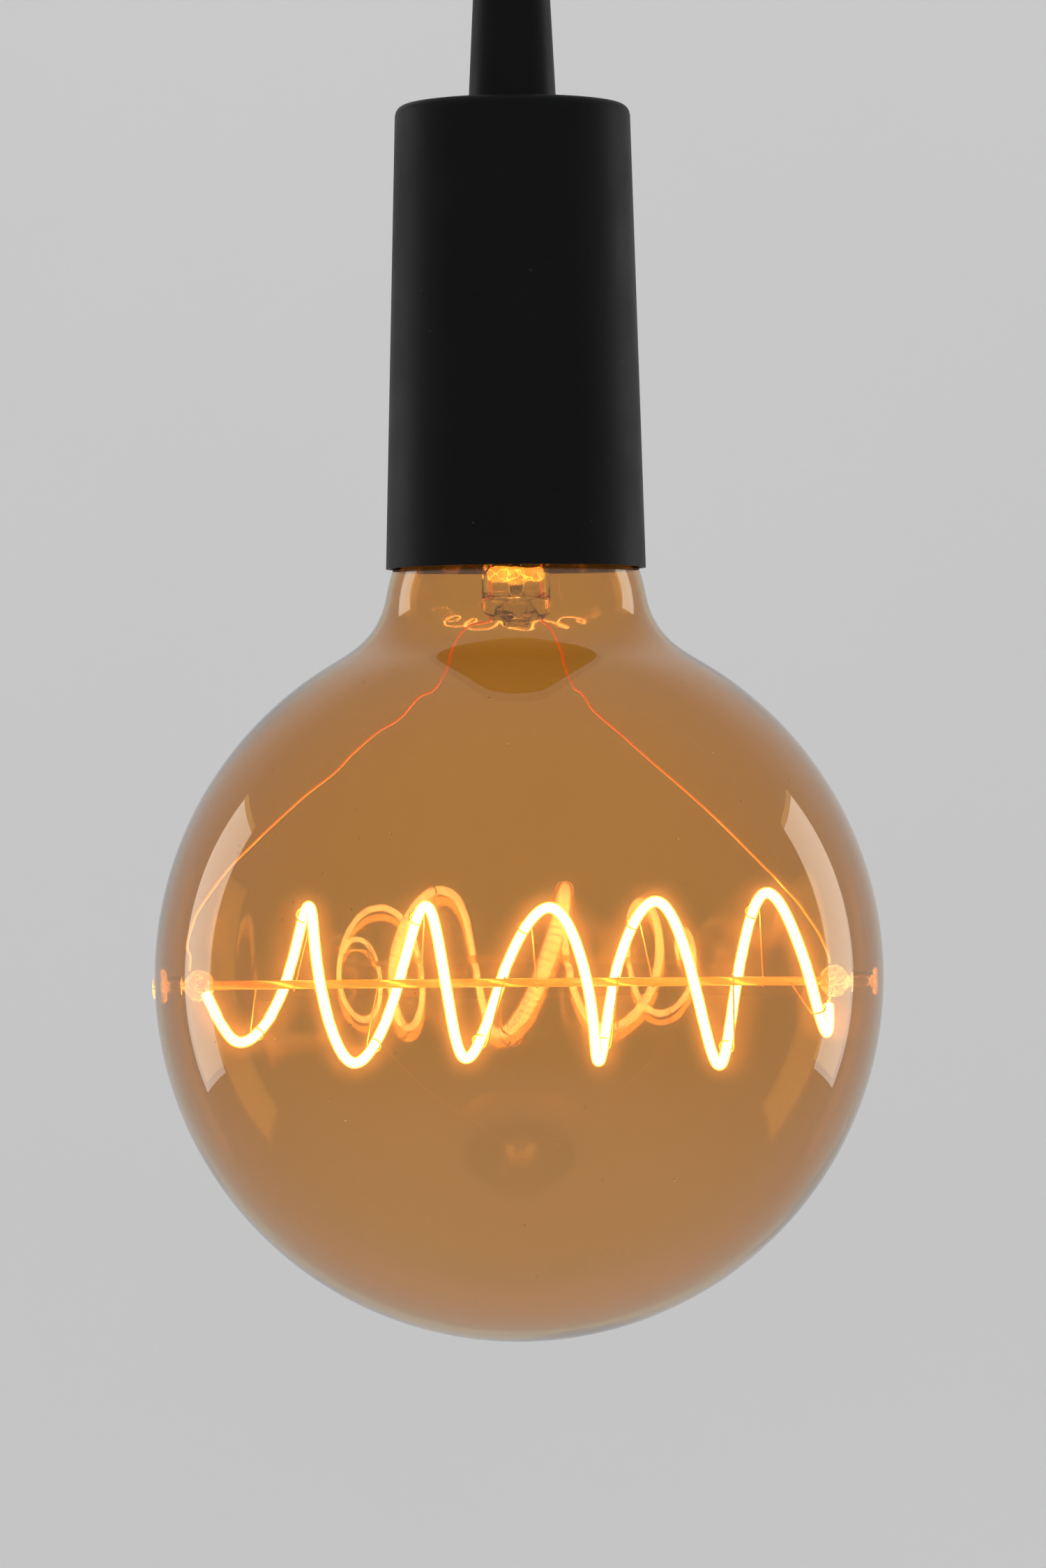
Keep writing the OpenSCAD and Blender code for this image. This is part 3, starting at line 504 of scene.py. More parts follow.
def lit_core():
    """Glowing core of the filament: a row of chips under phosphor, brighter over each chip.
    The gaps are still bright enough to look white. They only show where the globe mirrors them."""
    made, tree = new_material("filament_glow")
    along = add(tree, "ShaderNodeAttribute", attribute_name="along").outputs["Fac"]
    turns = add(tree, "ShaderNodeMath", {0: along, 1: math.pi / CHIP_PITCH_M}, operation="MULTIPLY")
    wave = add(tree, "ShaderNodeMath", {0: turns.outputs["Value"]}, operation="SINE")
    chips = add(tree, "ShaderNodeMath", {0: wave.outputs["Value"]}, operation="ABSOLUTE")
    lit = add(tree, "ShaderNodeMapRange", {
        "Value": chips.outputs["Value"], "From Min": 0.14, "From Max": 0.6})
    grain = use(tree, GRAIN, {"Grain Size": 1800.0, "Patch Size": 300.0})
    uneven = ranged(tree, grain.outputs["Patches"], 0.88, 1.0)
    share = add(tree, "ShaderNodeMath", {0: lit.outputs["Result"], 1: uneven}, operation="MULTIPLY")
    glow = mixed_colour(tree, share.outputs["Value"], (0.25, 0.25, 0.28), (1.0, 0.68, 0.45))
    skin = add(tree, "ShaderNodeBsdfPrincipled", {
        "Base Color": (0.9, 0.7, 0.25, 1),
        "Roughness": 0.4,
        "Emission Color": glow,
        "Emission Strength": 32.0})
    return finish_material(made, skin.outputs["BSDF"])


def copper_with_painted_glow():
    """Copper wire with a painted glow that stands for the filament's light on it, brighter towards its far
    end.
    """
    made, tree = new_material("copper_wire")
    along = add(tree, "ShaderNodeAttribute", attribute_name="along").outputs["Fac"]
    # Painted glow: emission on the wire that stands for the filament's light, stronger nearer the filament
    far = add(tree, "ShaderNodeMapRange", {"Value": along, "From Min": 0.055, "From Max": 0.115})
    rings = use(tree, TURNED_LINES, {"Lines": 2600.0})
    glow = mixed_colour(tree, far.outputs["Result"], (0.42, 0.07, 0.008), (1.0, 0.44, 0.05))
    skin = add(tree, "ShaderNodeBsdfPrincipled", {
        "Base Color": (1.0, 0.42, 0.12, 1),
        "Metallic": 1.0,
        "Roughness": ranged(tree, rings.outputs["Streaks"], 0.24, 0.5),
        "Emission Color": glow,
        "Emission Strength": 1.25})
    return finish_material(made, skin.outputs["BSDF"])


def lit_coat():
    """Soft clear orange sleeve over the core."""
    made, tree = new_material("filament_sleeve")
    grain = use(tree, GRAIN, {"Grain Size": 1500.0, "Patch Size": 400.0})
    glow = mixed_colour(tree, grain.outputs["Patches"], (1.0, 0.27, 0.012), (1.0, 0.34, 0.02))
    skin = add(tree, "ShaderNodeBsdfPrincipled", {
        "Base Color": (0.95, 0.5, 0.1, 1),
        "Roughness": ranged(tree, grain.outputs["Height"], 0.2, 0.4),
        "Emission Color": glow,
        "Emission Strength": 1.9,
        "Alpha": 0.45})
    return finish_material(made, skin.outputs["BSDF"])


def melted(name, tint, deep, through, rough, glow, dim, bright, scale, relief):
    """Melted or solid glass near the filament, with a painted glow that stands for the filament's light
    caught in it, a little all over and painted glints along its folds. The painted glow's two strengths
    are dim and bright."""
    made, tree = new_material(name)
    flow = use(tree, GLASS_FLOW, {"Wide": scale})
    folds = use(tree, PAINTED_GLINT_FOLDS, {"Scale": scale, "Width": 0.035})
    base = mixed_colour(tree, flow.outputs["Height"], tint, deep)
    # Painted glow and painted glints: emission that stands for the filament's light caught in the glass
    lit = mixed_colour(tree, folds.outputs["Mask"], [dim * c for c in glow], [bright * c for c in glow])
    wall = add(tree, "ShaderNodeBsdfPrincipled", {
        "Base Color": base,
        "Metallic": 0.0,
        "Roughness": rough,
        "IOR": 1.5,
        "Transmission Weight": through,
        "Emission Color": lit,
        "Emission Strength": 1.0,
        "Normal": relief_of(tree, flow.outputs["Height"], relief, 0.0003)})
    return finish_material(made, clear_for_shadows(tree, wall.outputs["BSDF"], tint))


FINISHES = {
    "holder_black": moulded(
        "holder_black", (0.0034, 0.0036, 0.0037), (0.005, 0.0052, 0.0053), 0.47, 2400.0, 0.3,
        specular=0.12),
    "spigot_black": moulded(
        "spigot_black", (0.004, 0.0042, 0.0043), (0.006, 0.0062, 0.0063), 0.44, 2000.0, 0.3,
        specular=0.12),
    "insert_plastic": moulded(
        "insert_plastic", (0.02, 0.02, 0.022), (0.03, 0.03, 0.032), 0.42, 1800.0, 0.3),
    "porcelain": moulded("porcelain", (0.66, 0.63, 0.56), (0.74, 0.71, 0.65), 0.22, 900.0, 0.1, 0.01),
    "cap_insulator": moulded(
        "cap_insulator", (0.012, 0.012, 0.018), (0.02, 0.02, 0.028), 0.12, 700.0, 0.1, 0.0),
    "cement": moulded("cement", (0.5, 0.42, 0.3), (0.62, 0.54, 0.41), 0.85, 1500.0, 0.9, 0.05, 0.3),
    "board": moulded("board", (0.012, 0.11, 0.055), (0.02, 0.16, 0.08), 0.38, 1600.0, 0.2),
    "capacitor_sleeve": moulded(
        "capacitor_sleeve", (0.015, 0.03, 0.075), (0.022, 0.04, 0.1), 0.3, 1200.0, 0.1),
    "chip_black": moulded("chip_black", (0.012, 0.012, 0.012), (0.02, 0.02, 0.02), 0.6, 3500.0, 0.5),
    "resistor_body": moulded("resistor_body", (0.48, 0.38, 0.24), (0.56, 0.46, 0.3), 0.35, 1500.0, 0.2),
    "plated_steel": turned_metal("plated_steel", (0.62, 0.61, 0.58), (0.5, 0.49, 0.47), 0.24),
    "brass": turned_metal("brass", (0.83, 0.6, 0.24), (0.62, 0.42, 0.15), 0.26),
    "cap_metal": turned_metal("cap_metal", (0.72, 0.69, 0.62), (0.58, 0.55, 0.49), 0.25),
    "copper_wire": copper_with_painted_glow(),
    "anchor_metal": turned_metal("anchor_metal", (1.0, 0.66, 0.28), (0.95, 0.5, 0.18), 0.3, 2600.0),
    "amber_glass": coated_glass(
        "amber_glass", (0.87, 0.585, 0.215), (0.84, 0.53, 0.175),
        edge=(0.6, 0.27, 0.06), haze=0.045, ior=1.76),
    "stem_glass": bare_glass("stem_glass", (0.99, 0.975, 0.94), (0.97, 0.95, 0.9), bump=0.35, wide=160.0),
    # The rod and the beads carry a painted glow and painted glints, standing for the filament's light
    # caught in them
    "rod_glass": melted(
        "rod_glass", (1.0, 0.72, 0.3), (0.95, 0.55, 0.16), through=0.5, rough=0.2,
        glow=(1.0, 0.5, 0.09), dim=0.28, bright=0.45, scale=150.0, relief=0.3),
    "bead_glass": melted(
        "bead_glass", (1.0, 0.86, 0.6), (0.97, 0.7, 0.38), through=0.85, rough=0.03,
        glow=(1.0, 0.7, 0.36), dim=0.1, bright=1.3, scale=480.0, relief=0.7),
    "filament_glow": lit_core(),
}
SLEEVE = lit_coat()
# Melted amber glass with a painted glow and painted glints, for the wall drops and the stem's weld
MELTED_AMBER_PAINTED_GLOW = melted(
    "melted_amber_painted_glow", (1.0, 0.9, 0.6), (1.0, 0.75, 0.35), through=0.5, rough=0.08,
    glow=(1.0, 0.62, 0.17), dim=0.4, bright=2.6, scale=420.0, relief=0.9)


def dress(thing, slot, body, *nodes):
    """Gives a piece its finish, where it has none yet, its body and the nodes that it stands for."""
    if not thing.data.materials:
        thing.data.materials.append(FINISHES[slot])
    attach(thing, body)
    if nodes:
        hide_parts(*nodes)


def dress_cad_nodes():
    """Gives each CAD node that stays in sight the finish of its slot."""
    for row in frame["record"]["subparts"]:
        thing = frame["nodes"][row["node"]]
        thing.data.materials.clear()
        thing.data.materials.append(FINISHES[row["material_slot"]])


# Wires that follow a path

def smooth(values, place):
    """Smooth curve through a list of numbers, read at any place, as in the part's source."""
    last = len(values) - 1
    i = max(0, min(last - 1, math.floor(place)))
    t = place - i
    a = values[max(0, i - 1)]
    b = values[i]
    c = values[i + 1]
    d = values[min(last, i + 2)]
    return b + t / 2 * (c - a + t * (2 * a - 5 * b + 4 * c - d + t * (3 * (b - c) + d - a)))


def winding_point(place):
    """Point on the filament's middle line, with the place counted in quarter turns."""
    x = smooth(TURN_PLACES, place) * BEAD_X / DRAWN_BEAD_X
    r = smooth(TURN_REACH, place) * WINDING_R
    a = math.radians(90 * place)
    return Vector((x, -r * math.cos(a), ROD_Z - r * math.sin(a)))


def eased(points, steps):
    """Smooth path through points, with a number of steps between each two."""
    axes = [[p[i] for p in points] for i in range(3)]
    count = (len(points) - 1) * steps
    return [Vector([smooth(axis, i / steps) for axis in axes]) for i in range(count + 1)]


def geometry_group(name, ins):
    """Geometry tree with named inputs. Returns the tree, its input node and its output node."""
    tree = bpy.data.node_groups.new(name, "GeometryNodeTree")
    for label, kind in [("Geometry", "NodeSocketGeometry")] + ins:
        tree.interface.new_socket(label, in_out="INPUT", socket_type=kind)
    tree.interface.new_socket("Geometry", in_out="OUTPUT", socket_type="NodeSocketGeometry")
    return tree, tree.nodes.new("NodeGroupInput"), tree.nodes.new("NodeGroupOutput")


def wire_tree():
    """Geometry tree that sweeps a round section along a curve and keeps the length along it."""
    tree, start, end = geometry_group("swept_wire", [
        ("Radius", "NodeSocketFloat"),
        ("Sides", "NodeSocketInt"),
        ("Finish", "NodeSocketMaterial"),
    ])
    length = add(tree, "GeometryNodeSplineParameter")
    named = add(tree, "GeometryNodeStoreNamedAttribute", {
        "Geometry": start.outputs["Geometry"], "Name": "along", "Value": length.outputs["Length"]},
        data_type="FLOAT", domain="POINT")
    section = add(tree, "GeometryNodeCurvePrimitiveCircle", {
        "Resolution": start.outputs["Sides"], "Radius": start.outputs["Radius"]})
    swept = add(tree, "GeometryNodeCurveToMesh", {
        "Curve": named.outputs["Geometry"],
        "Profile Curve": section.outputs["Curve"],
        "Fill Caps": True})
    rounded = add(tree, "GeometryNodeSetShadeSmooth", {"Geometry": swept.outputs["Mesh"]})
    plain = add(tree, "GeometryNodeRealizeInstances", {"Geometry": rounded.outputs["Geometry"]})
    finished = add(tree, "GeometryNodeSetMaterial", {
        "Geometry": plain.outputs["Geometry"], "Material": start.outputs["Finish"]})
    tree.links.new(finished.outputs["Geometry"], end.inputs["Geometry"])
    return tree


def path_curve(name, points_mm, shares):
    """Curve through points. The shares narrow the wire at each point."""
    curve = bpy.data.curves.new(name, "CURVE")
    curve.dimensions = "3D"
    curve.twist_mode = "MINIMUM"
    spline = curve.splines.new("POLY")
    spline.points.add(len(points_mm) - 1)
    for point, place, share in zip(spline.points, points_mm, shares):
        point.co = (*(Vector(place) / 1000), 1)
        point.radius = share
    return add_object(name, curve)


def rounded_ends(points, radius, steps=6):
    """Adds close points at both ends of a path and narrows them, so that the wire ends in a dome."""
    turns = [math.pi / 2 * i / steps for i in range(steps)]
    ways = [(points[1] - points[0]).normalized(), (points[-1] - points[-2]).normalized()]
    first = [points[0] + radius * (1 - math.cos(a)) * ways[0] for a in turns]
    last = [points[-1] - radius * (1 - math.cos(a)) * ways[1] for a in turns]
    narrow = [0.02 + 0.98 * math.sin(a) for a in turns]
    middle = [p for p in points if min((p - points[0]).length, (p - points[-1]).length) > radius]
    return first + middle + last[::-1], narrow + [1.0] * len(middle) + narrow[::-1]


def grown(name, source, tree, values):
    """Plain mesh of a geometry tree that is run on a source object, which is then removed."""
    growth = source.modifiers.new("growth", "NODES")
    growth.node_group = tree
    for item in tree.interface.items_tree:
        if item.item_type == "SOCKET" and item.in_out == "INPUT" and item.name in values:
            growth[item.identifier] = values[item.name]
    graph = bpy.context.evaluated_depsgraph_get()
    mesh = bpy.data.meshes.new_from_object(source.evaluated_get(graph), depsgraph=graph)
    mesh.name = name
    bpy.data.objects.remove(source)
    return add_object(name, mesh)


WIRE = wire_tree()


def wire(name, points_mm, radius, sides, finish, domed=False):
    """Round wire along points, with flat ends or, where it is domed, rounded ones."""
    shares = [1.0] * len(points_mm)
    if domed:
        points_mm, shares = rounded_ends(points_mm, radius)
    source = path_curve(name + "_path", points_mm, shares)
    return grown(name, source, WIRE, {"Radius": radius / 1000, "Sides": sides, "Finish": finish})


# The glass envelope

def shoulder_r():
    """Radius of the hollow between neck and globe, which touches both."""
    h = CROWN_Z - GLOBE_Z
    return (NECK_R ** 2 + h ** 2 - GLOBE_R ** 2) / 2 / (GLOBE_R - NECK_R)


def crown_turn():
    """Angle at which the neck's crown meets the line up to the glass's end."""
    dx = GLASS_END_R - CROWN_X
    dz = GLASS_END_Z - CROWN_Z
    return math.degrees(math.atan2(dz, dx) - math.acos(CROWN_R / math.hypot(dx, dz)))


def drawn_outline():
    """Half outline of the glass's outer face, from the bottom pole to the top, as its circles give it."""
    hinge_x = NECK_R + shoulder_r()
    lean = math.degrees(math.atan2(CROWN_Z - GLOBE_Z, hinge_x))
    line = arc(0, GLOBE_Z, GLOBE_R, -90, lean, 600)
    line += arc(hinge_x, CROWN_Z, shoulder_r(), 180 + lean, 180, 60)[1:]
    line += arc(CROWN_X, CROWN_Z, CROWN_R, 0, crown_turn(), 20)[1:]
    return line + [(GLASS_END_R, GLASS_END_Z), (GLASS_END_R, GLASS_TOP_Z)]


def along_line(line, places):
    """Points at given lengths along an outline."""
    found = []
    i = 0
    passed = 0.0
    for place in places:
        while i < len(line) - 2 and passed + math.dist(line[i], line[i + 1]) < place:
            passed += math.dist(line[i], line[i + 1])
            i += 1
        a = Vector(line[i])
        b = Vector(line[i + 1])
        found.append(a + (b - a) * (place - passed) / (b - a).length)
    return found


def eased_outline(step=0.5, reach=7):
    """The outline in even steps, each point averaged with its neighbours, so that the bends flow."""
    line = drawn_outline()
    total = sum(math.dist(a, b) for a, b in zip(line, line[1:]))
    count = round(total / step)
    even = along_line(line, [total * i / count for i in range(count + 1)])
    eased = []
    for i in range(count + 1):
        near = min(reach, i, count - i)
        around = even[i - near:i + near + 1]
        eased.append(sum(around, Vector((0, 0))) / len(around))
    return eased


def rise_of_inner_wall(z, t):
    """Blown glass sags before it sets, so its floor is thicker than its shoulder."""
    share = min(1, max(0, (SAG_TOP_Z - z) / SAG_SPAN))
    return GLASS_SAG * share * share * (3 - 2 * share) if t > 0 else 0


def wall_rows(points, t):
    """Rows of one face of the glass, t inside the outline, closer together near the rod."""
    bottom = GLOBE_Z - GLOBE_R
    rows = [(0.0, bottom + t + rise_of_inner_wall(bottom, t))]
    last = len(points) - 1
    i = 3
    while i < last:
        r, z = points[i]
        way = (points[i + 1] - points[i - 1]).normalized()
        rows.append((r - t * way.y, z + t * way.x + rise_of_inner_wall(z, t)))
        if t == 0 and abs(z - ROD_Z) < FINE_ROWS_REACH:
            i += 1
        else:
            i += 2 if z > SHOULDER_LOW_Z else 3
    rows.append((GLASS_END_R - t, GLASS_TOP_Z - 0.2))
    return rows


def envelope_angles():
    """Even angles, with closer ones towards the rod's two ends."""
    angles = [1.5 * k for k in range(240)]
    for middle in (0, 180):
        angles += [middle + 0.3 * k for k in range(-20, 21) if k % 5]
    return [math.radians(a) for a in sorted(a % 360 for a in angles)]


def with_pip(point):
    """Raises the small melted pip on the left wall, at the rod's end."""
    x, y, z = point
    away = math.hypot(y, z - ROD_Z)
    outer = math.hypot(x, y) ** 2 + (z - GLOBE_Z) ** 2 > (GLOBE_R - GLASS_T / 2) ** 2
    if x > 0 or away > PIP_R * PIP_SPREAD or not outer:
        return point
    share = 0.5 + 0.5 * math.cos(math.pi * min(1, away / PIP_R / PIP_SPREAD))
    return (x - PIP_H * share, y, z)


def make_envelope():
    """Outer face, inner face and the rounded top edge, in one closed shell."""
    points = eased_outline()
    outline = wall_rows(points, 0) + [(GLASS_END_R - GLASS_T / 2, GLASS_TOP_Z)]
    outline += wall_rows(points, GLASS_T)[::-1]
    shell = lathe("glass_envelope_blown", outline, envelope_angles(), change=with_pip)
    dress(shell, "amber_glass", "lamp", "glass_envelope")


# The filament and its wires

def make_filament():
    """Glowing core and the soft sleeve round it, both on the winding's path."""
    span = WINDING_END - WINDING_START
    path = [winding_point(WINDING_START + span * i / WINDING_STEPS) for i in range(WINDING_STEPS + 1)]
    core = wire("filament_core", path, CORE_R, 12, FINISHES["filament_glow"], True)
    dress(core, "filament_glow", "lamp", "led_filament")
    sleeve = wire("filament_sleeve", path, FILAMENT_R, 20, SLEEVE, True)
    dress(sleeve, "filament_glow", "lamp", "led_filament")


def beside_bead(side, angle, gap):
    """Point just off a bead's skin, where a lead ends."""
    a = math.radians(angle)
    middle = Vector((side * BEAD_X + ROD_SHIFT, 0, ROD_Z))
    return middle + (BEAD_R + gap) * Vector((side * math.cos(a), 0, math.sin(a)))


def lead_path(side, way, last):
    """Points of a lead: down inside the stem, through its press, then out and down to the bead."""
    top = [(side * 5.2, 3.35, -88.4), (side * 5.1, 2.4, GLASS_TOP_Z + 0.6)]
    stem = [(side * LEAD_X, 0, FLARE_Z - 0.5), (side * LEAD_X, 0, STEM_Z + PRESS_H)]
    foot = [(side * LEAD_X, 0, STEM_Z - 0.3)]
    hung = [
        (side * (LEAD_X + out * (BEAD_X - LEAD_X)), 0, STEM_Z - down * (STEM_Z - ROD_Z))
        for out, down in way
    ]
    return top + stem + foot + hung + [tuple(last)]


def make_leads():
    ways = {"left": (-1, LEAD_LEFT_WAY, 58), "right": (1, LEAD_RIGHT_WAY, 106)}
    for word, (side, way, angle) in ways.items():
        path = lead_path(side, way, beside_bead(side, angle, 0.3))
        lead = wire(f"lead_wire_{word}_bent", eased(path, 5), LEAD_R, 10, FINISHES["copper_wire"])
        dress(lead, "copper_wire", "lamp", f"lead_wire_{word}")


def anchor_frame(i):
    """Foot in the rod, then the directions out to the filament and aside, and the filament's own point."""
    place = ANCHOR_PLACES[i]
    foot = Vector((ANCHOR_FEET[i] * BEAD_X / DRAWN_BEAD_X, 0, ROD_Z))
    held = winding_point(place)
    out = (held - foot).normalized()
    way = winding_point(place + 0.05) - winding_point(place - 0.05)
    across = (way - way.dot(out) * out).normalized()
    aside = ANCHOR_SIDES[i] * across.cross(out)
    return foot, held, out, aside


def make_anchors():
    """Fine wires through the rod, each with its end curled round the filament."""
    loop_r = FILAMENT_R + ANCHOR_R + ANCHOR_GAP
    for i in range(len(ANCHOR_PLACES)):
        foot, held, out, aside = anchor_frame(i)
        lean = math.asin(loop_r / (held - foot).length)
        heading = math.cos(lean) * out + math.sin(lean) * aside
        path = [foot - (ROD_R + ANCHOR_POKE) * heading]
        for k in range(ANCHOR_RINGS + 1):
            a = math.pi / 2 + lean - math.radians(ANCHOR_CURL) * k / ANCHOR_RINGS
            path.append(held + loop_r * (math.cos(a) * out + math.sin(a) * aside))
        anchor = wire(f"anchor_wire_{i + 1}_curled", path, ANCHOR_R, 8, FINISHES["anchor_metal"])
        dress(anchor, "anchor_metal", "lamp", f"anchor_wire_{i + 1}")


def make_bead(side, word):
    """Melted glass bead, crumpled where it was pinched, with a cone nose towards the stub."""
    ball = bmesh.new()
    bmesh.ops.create_icosphere(ball, subdivisions=5, radius=1.0)
    for point in ball.verts:
        p = point.co.copy()
        nose = max(0.0, p.x - 0.45)
        slim = 1 - 0.55 * min(1, nose / 0.5)
        crumple = 1 - 0.13 * abs(noise.noise(p * 2.3 + Vector((side, 2, 5))))
        crumple -= 0.06 * abs(noise.noise(p * 5.2 + Vector((7, side, 1))))
        thin = slim * crumple
        point.co = Vector((p.x * crumple + 0.22 * nose, p.y * thin, p.z * thin)) * BEAD_R
        point.co.x = min(point.co.x, BEAD_R + 0.3)
    mesh = bpy.data.meshes.new(f"bead_{word}_melted")
    ball.to_mesh(mesh)
    ball.free()
    mesh.polygons.foreach_set("use_smooth", [True] * len(mesh.polygons))
    bead = add_object(f"bead_{word}_melted", mesh)
    place = Matrix.Translation((side * BEAD_X + ROD_SHIFT, 0, ROD_Z))
    if side < 0:
        place = place @ Matrix.Rotation(math.pi, 4, "Z")
    turn_about(bead, Matrix.Scale(0.001, 4) @ place)
    dress(bead, "bead_glass", "lamp", f"bead_{word}")


def make_rod():
    """Drawn glass rod with melted ends and a slight wave along it. The anchors are fused into it."""
    end = BEAD_X - 1.2
    waves = [ROD_R + 0.012 * math.sin(1.7 * k) for k in range(1, 60)]
    line = [(0.0, -end), (0.5, -end), (0.68, -end + 0.08), (ROD_R, -end + 0.3)]
    line += [(r, -end + 0.3 + (2 * end - 0.6) * k / 60) for k, r in enumerate(waves, 1)]
    line += [(ROD_R, end - 0.3), (0.68, end - 0.08), (0.5, end), (0.0, end)]
    rod = lathe("support_rod_drawn", line, even_angles(40))
    place = Matrix.Translation((ROD_SHIFT / 1000, 0, ROD_Z / 1000))
    turn_about(rod, place @ Matrix.Rotation(math.pi / 2, 4, "Y"))
    dress(rod, "rod_glass", "lamp", "support_rod")


def make_stub(side, word):
    """Short glass tube with a rounded lip towards the bead, drawn from the wall's side."""
    length = STUB_END_X - STUB_X - side * ROD_SHIFT
    lip = STUB_LIP_T / 2
    outline = [(STUB_BORE_R, 0.1), (STUB_BORE_R + 0.1, 0.0), (STUB_R - 0.15, 0.0), (STUB_R, 0.15)]
    outline += straight(outline[-1], (STUB_R, length - STUB_LIP_T - 0.3), 4)
    outline += [(STUB_R, length - STUB_LIP_T - 0.3), (STUB_R + 0.08, length - STUB_LIP_T - 0.1)]
    outline += arc(STUB_LIP_R - lip, length - lip, lip, -40, 90, 10)
    outline += [(STUB_BORE_R + 0.12, length), (STUB_BORE_R, length - 0.12)]
    stub = lathe(f"end_stub_{word}_lipped", outline[::-1], even_angles(64), closed=True)
    place = Matrix.Translation((side * STUB_END_X / 1000, 0, ROD_Z / 1000))
    turn_about(stub, place @ Matrix.Rotation(-side * math.pi / 2, 4, "Y"))
    dress(stub, "stem_glass", "lamp", f"end_stub_{word}")


def make_wall_drop(side, word, reach, out, depth):
    """Drop of melted glass that holds a stub to the globe's wall. It stands out of the wall by out,
    and reaches in by depth."""
    section = [
        (0.0, -out), (0.4 * reach, -out + 0.05), (0.75 * reach, -0.6 * out),
        (reach, -0.1), (reach + 0.02, 0.25), (reach - 0.2, 0.6 * depth),
        (0.8 * reach, 0.9 * depth), (STUB_R * 0.9, depth), (0.0, depth),
    ]
    rounded = [(max(0.0, p[0]), p[1]) for p in eased([(r, z, 0) for r, z in section], 4)]
    rounded = [p for p in rounded if p[0] > 1e-3 or p in (rounded[0], rounded[-1])]
    drop = lathe(f"wall_drop_{word}", rounded, even_angles(72))
    place = Matrix.Translation((side * 0.0616, 0, ROD_Z / 1000))
    turn_about(drop, place @ Matrix.Rotation(-side * math.pi / 2, 4, "Y"))
    # The drop gets a painted glow and painted glints, standing for the filament's light caught in it
    drop.data.materials.append(MELTED_AMBER_PAINTED_GLOW)
    dress(drop, "bead_glass", "lamp")


# The stem

def crumpled(amount, low_z, high_z, seed):
    """A change for lathe: uneven below high_z, as glass is where it was melted and pinched."""
    def change(point):
        share = min(1, max(0, (high_z - point[2]) / (high_z - low_z)))
        place = Vector(point) * 0.42 + Vector((seed, 0, 0))
        shift = noise.noise_vector(place) + 0.5 * noise.noise_vector(place * 2.3)
        return Vector(point) + amount * share * shift
    return change


def make_stem():
    """Flare, tube, press and nub, blown and pinched in one."""
    bottom = STEM_Z - NUB_H
    line = [(0.0, bottom), (0.6, bottom), (1.2, bottom), (NUB_R - 0.5, bottom)]
    line += [(NUB_R - 0.15, bottom + 0.2), (NUB_R, bottom + 0.6), (NUB_R, bottom + 1.0)]
    line += [(NUB_R + 0.3, STEM_Z - 0.15), (3.3, STEM_Z)]
    line += [(4.0, STEM_Z), (4.7, STEM_Z + 0.15), (5.3, STEM_Z + 0.55), (5.7, STEM_Z + 1.15)]
    line += straight((STEM_R, STEM_Z + 1.9), (STEM_R, FLARE_Z), 40)
    line += arc(FLARE_RIM_R, FLARE_Z, FLARE_R, 180, 90, 24)
    line += arc(FLARE_RIM_R, FLARE_Z + FLARE_R + GLASS_T / 2, GLASS_T / 2, -60, 60, 4)
    line += arc(FLARE_RIM_R, FLARE_Z, FLARE_R + GLASS_T, 90, 180, 24)
    line += straight((STEM_IN_R, FLARE_Z), (STEM_IN_R, STEM_Z + 5.0), 36)
    line += [(4.95, STEM_Z + 4.6), (4.7, STEM_Z + 4.1), (4.3, STEM_Z + 3.75), (3.8, STEM_Z + 3.55)]
    line += [(3.0, STEM_Z + 3.45), (2.0, STEM_Z + 3.4), (1.0, STEM_Z + 3.4), (0.0, STEM_Z + 3.4)]
    stem = lathe("stem_flare_blown", line, even_angles(120), change=crumpled(0.42, STEM_Z, STEM_Z + 6, 3))
    dress(stem, "stem_glass", "lamp", "stem_flare")


def make_exhaust():
    """Thin tube inside the stem, with a bell at its foot and a sealed tip in the cap."""
    foot = STEM_Z + 0.95
    bell = [(2.2, 0.1), (2.45, 0.0), (2.7, 0.15), (2.75, 0.5), (2.66, 1.1)]
    bell += [(2.4, 1.7), (2.05, 2.05), (1.7, 2.3), (1.45, 2.8), (1.38, 3.6)]
    throat = [(0.8, 2.8), (1.1, 2.2), (1.6, 1.6), (2.0, 1.0), (2.15, 0.5)]
    tip = [(EXHAUST_R - 0.1, -1.1), (1.0, -0.35), (0.4, -0.03), (0.0, 0.0)]
    tip += [(0.0, -1.6), (0.5, -1.9), (EXHAUST_IN_R, -2.8)]
    line = [(r, foot + up) for r, up in bell]
    line += straight(line[-1], (EXHAUST_R, foot + 12), 6)
    line += straight((EXHAUST_R, foot + 12), (EXHAUST_R, EXHAUST_TOP_Z - 1.6), 10)
    line += [(r, EXHAUST_TOP_Z + up) for r, up in tip]
    line += straight(line[-1], (0.75, foot + 3.6), 12)
    line += [(r, foot + up) for r, up in throat]
    tube = lathe("exhaust_tube_belled", line, even_angles(72), closed=True,
                 change=crumpled(0.12, foot, foot + 5, 9))
    dress(tube, "stem_glass", "lamp", "exhaust_tube")


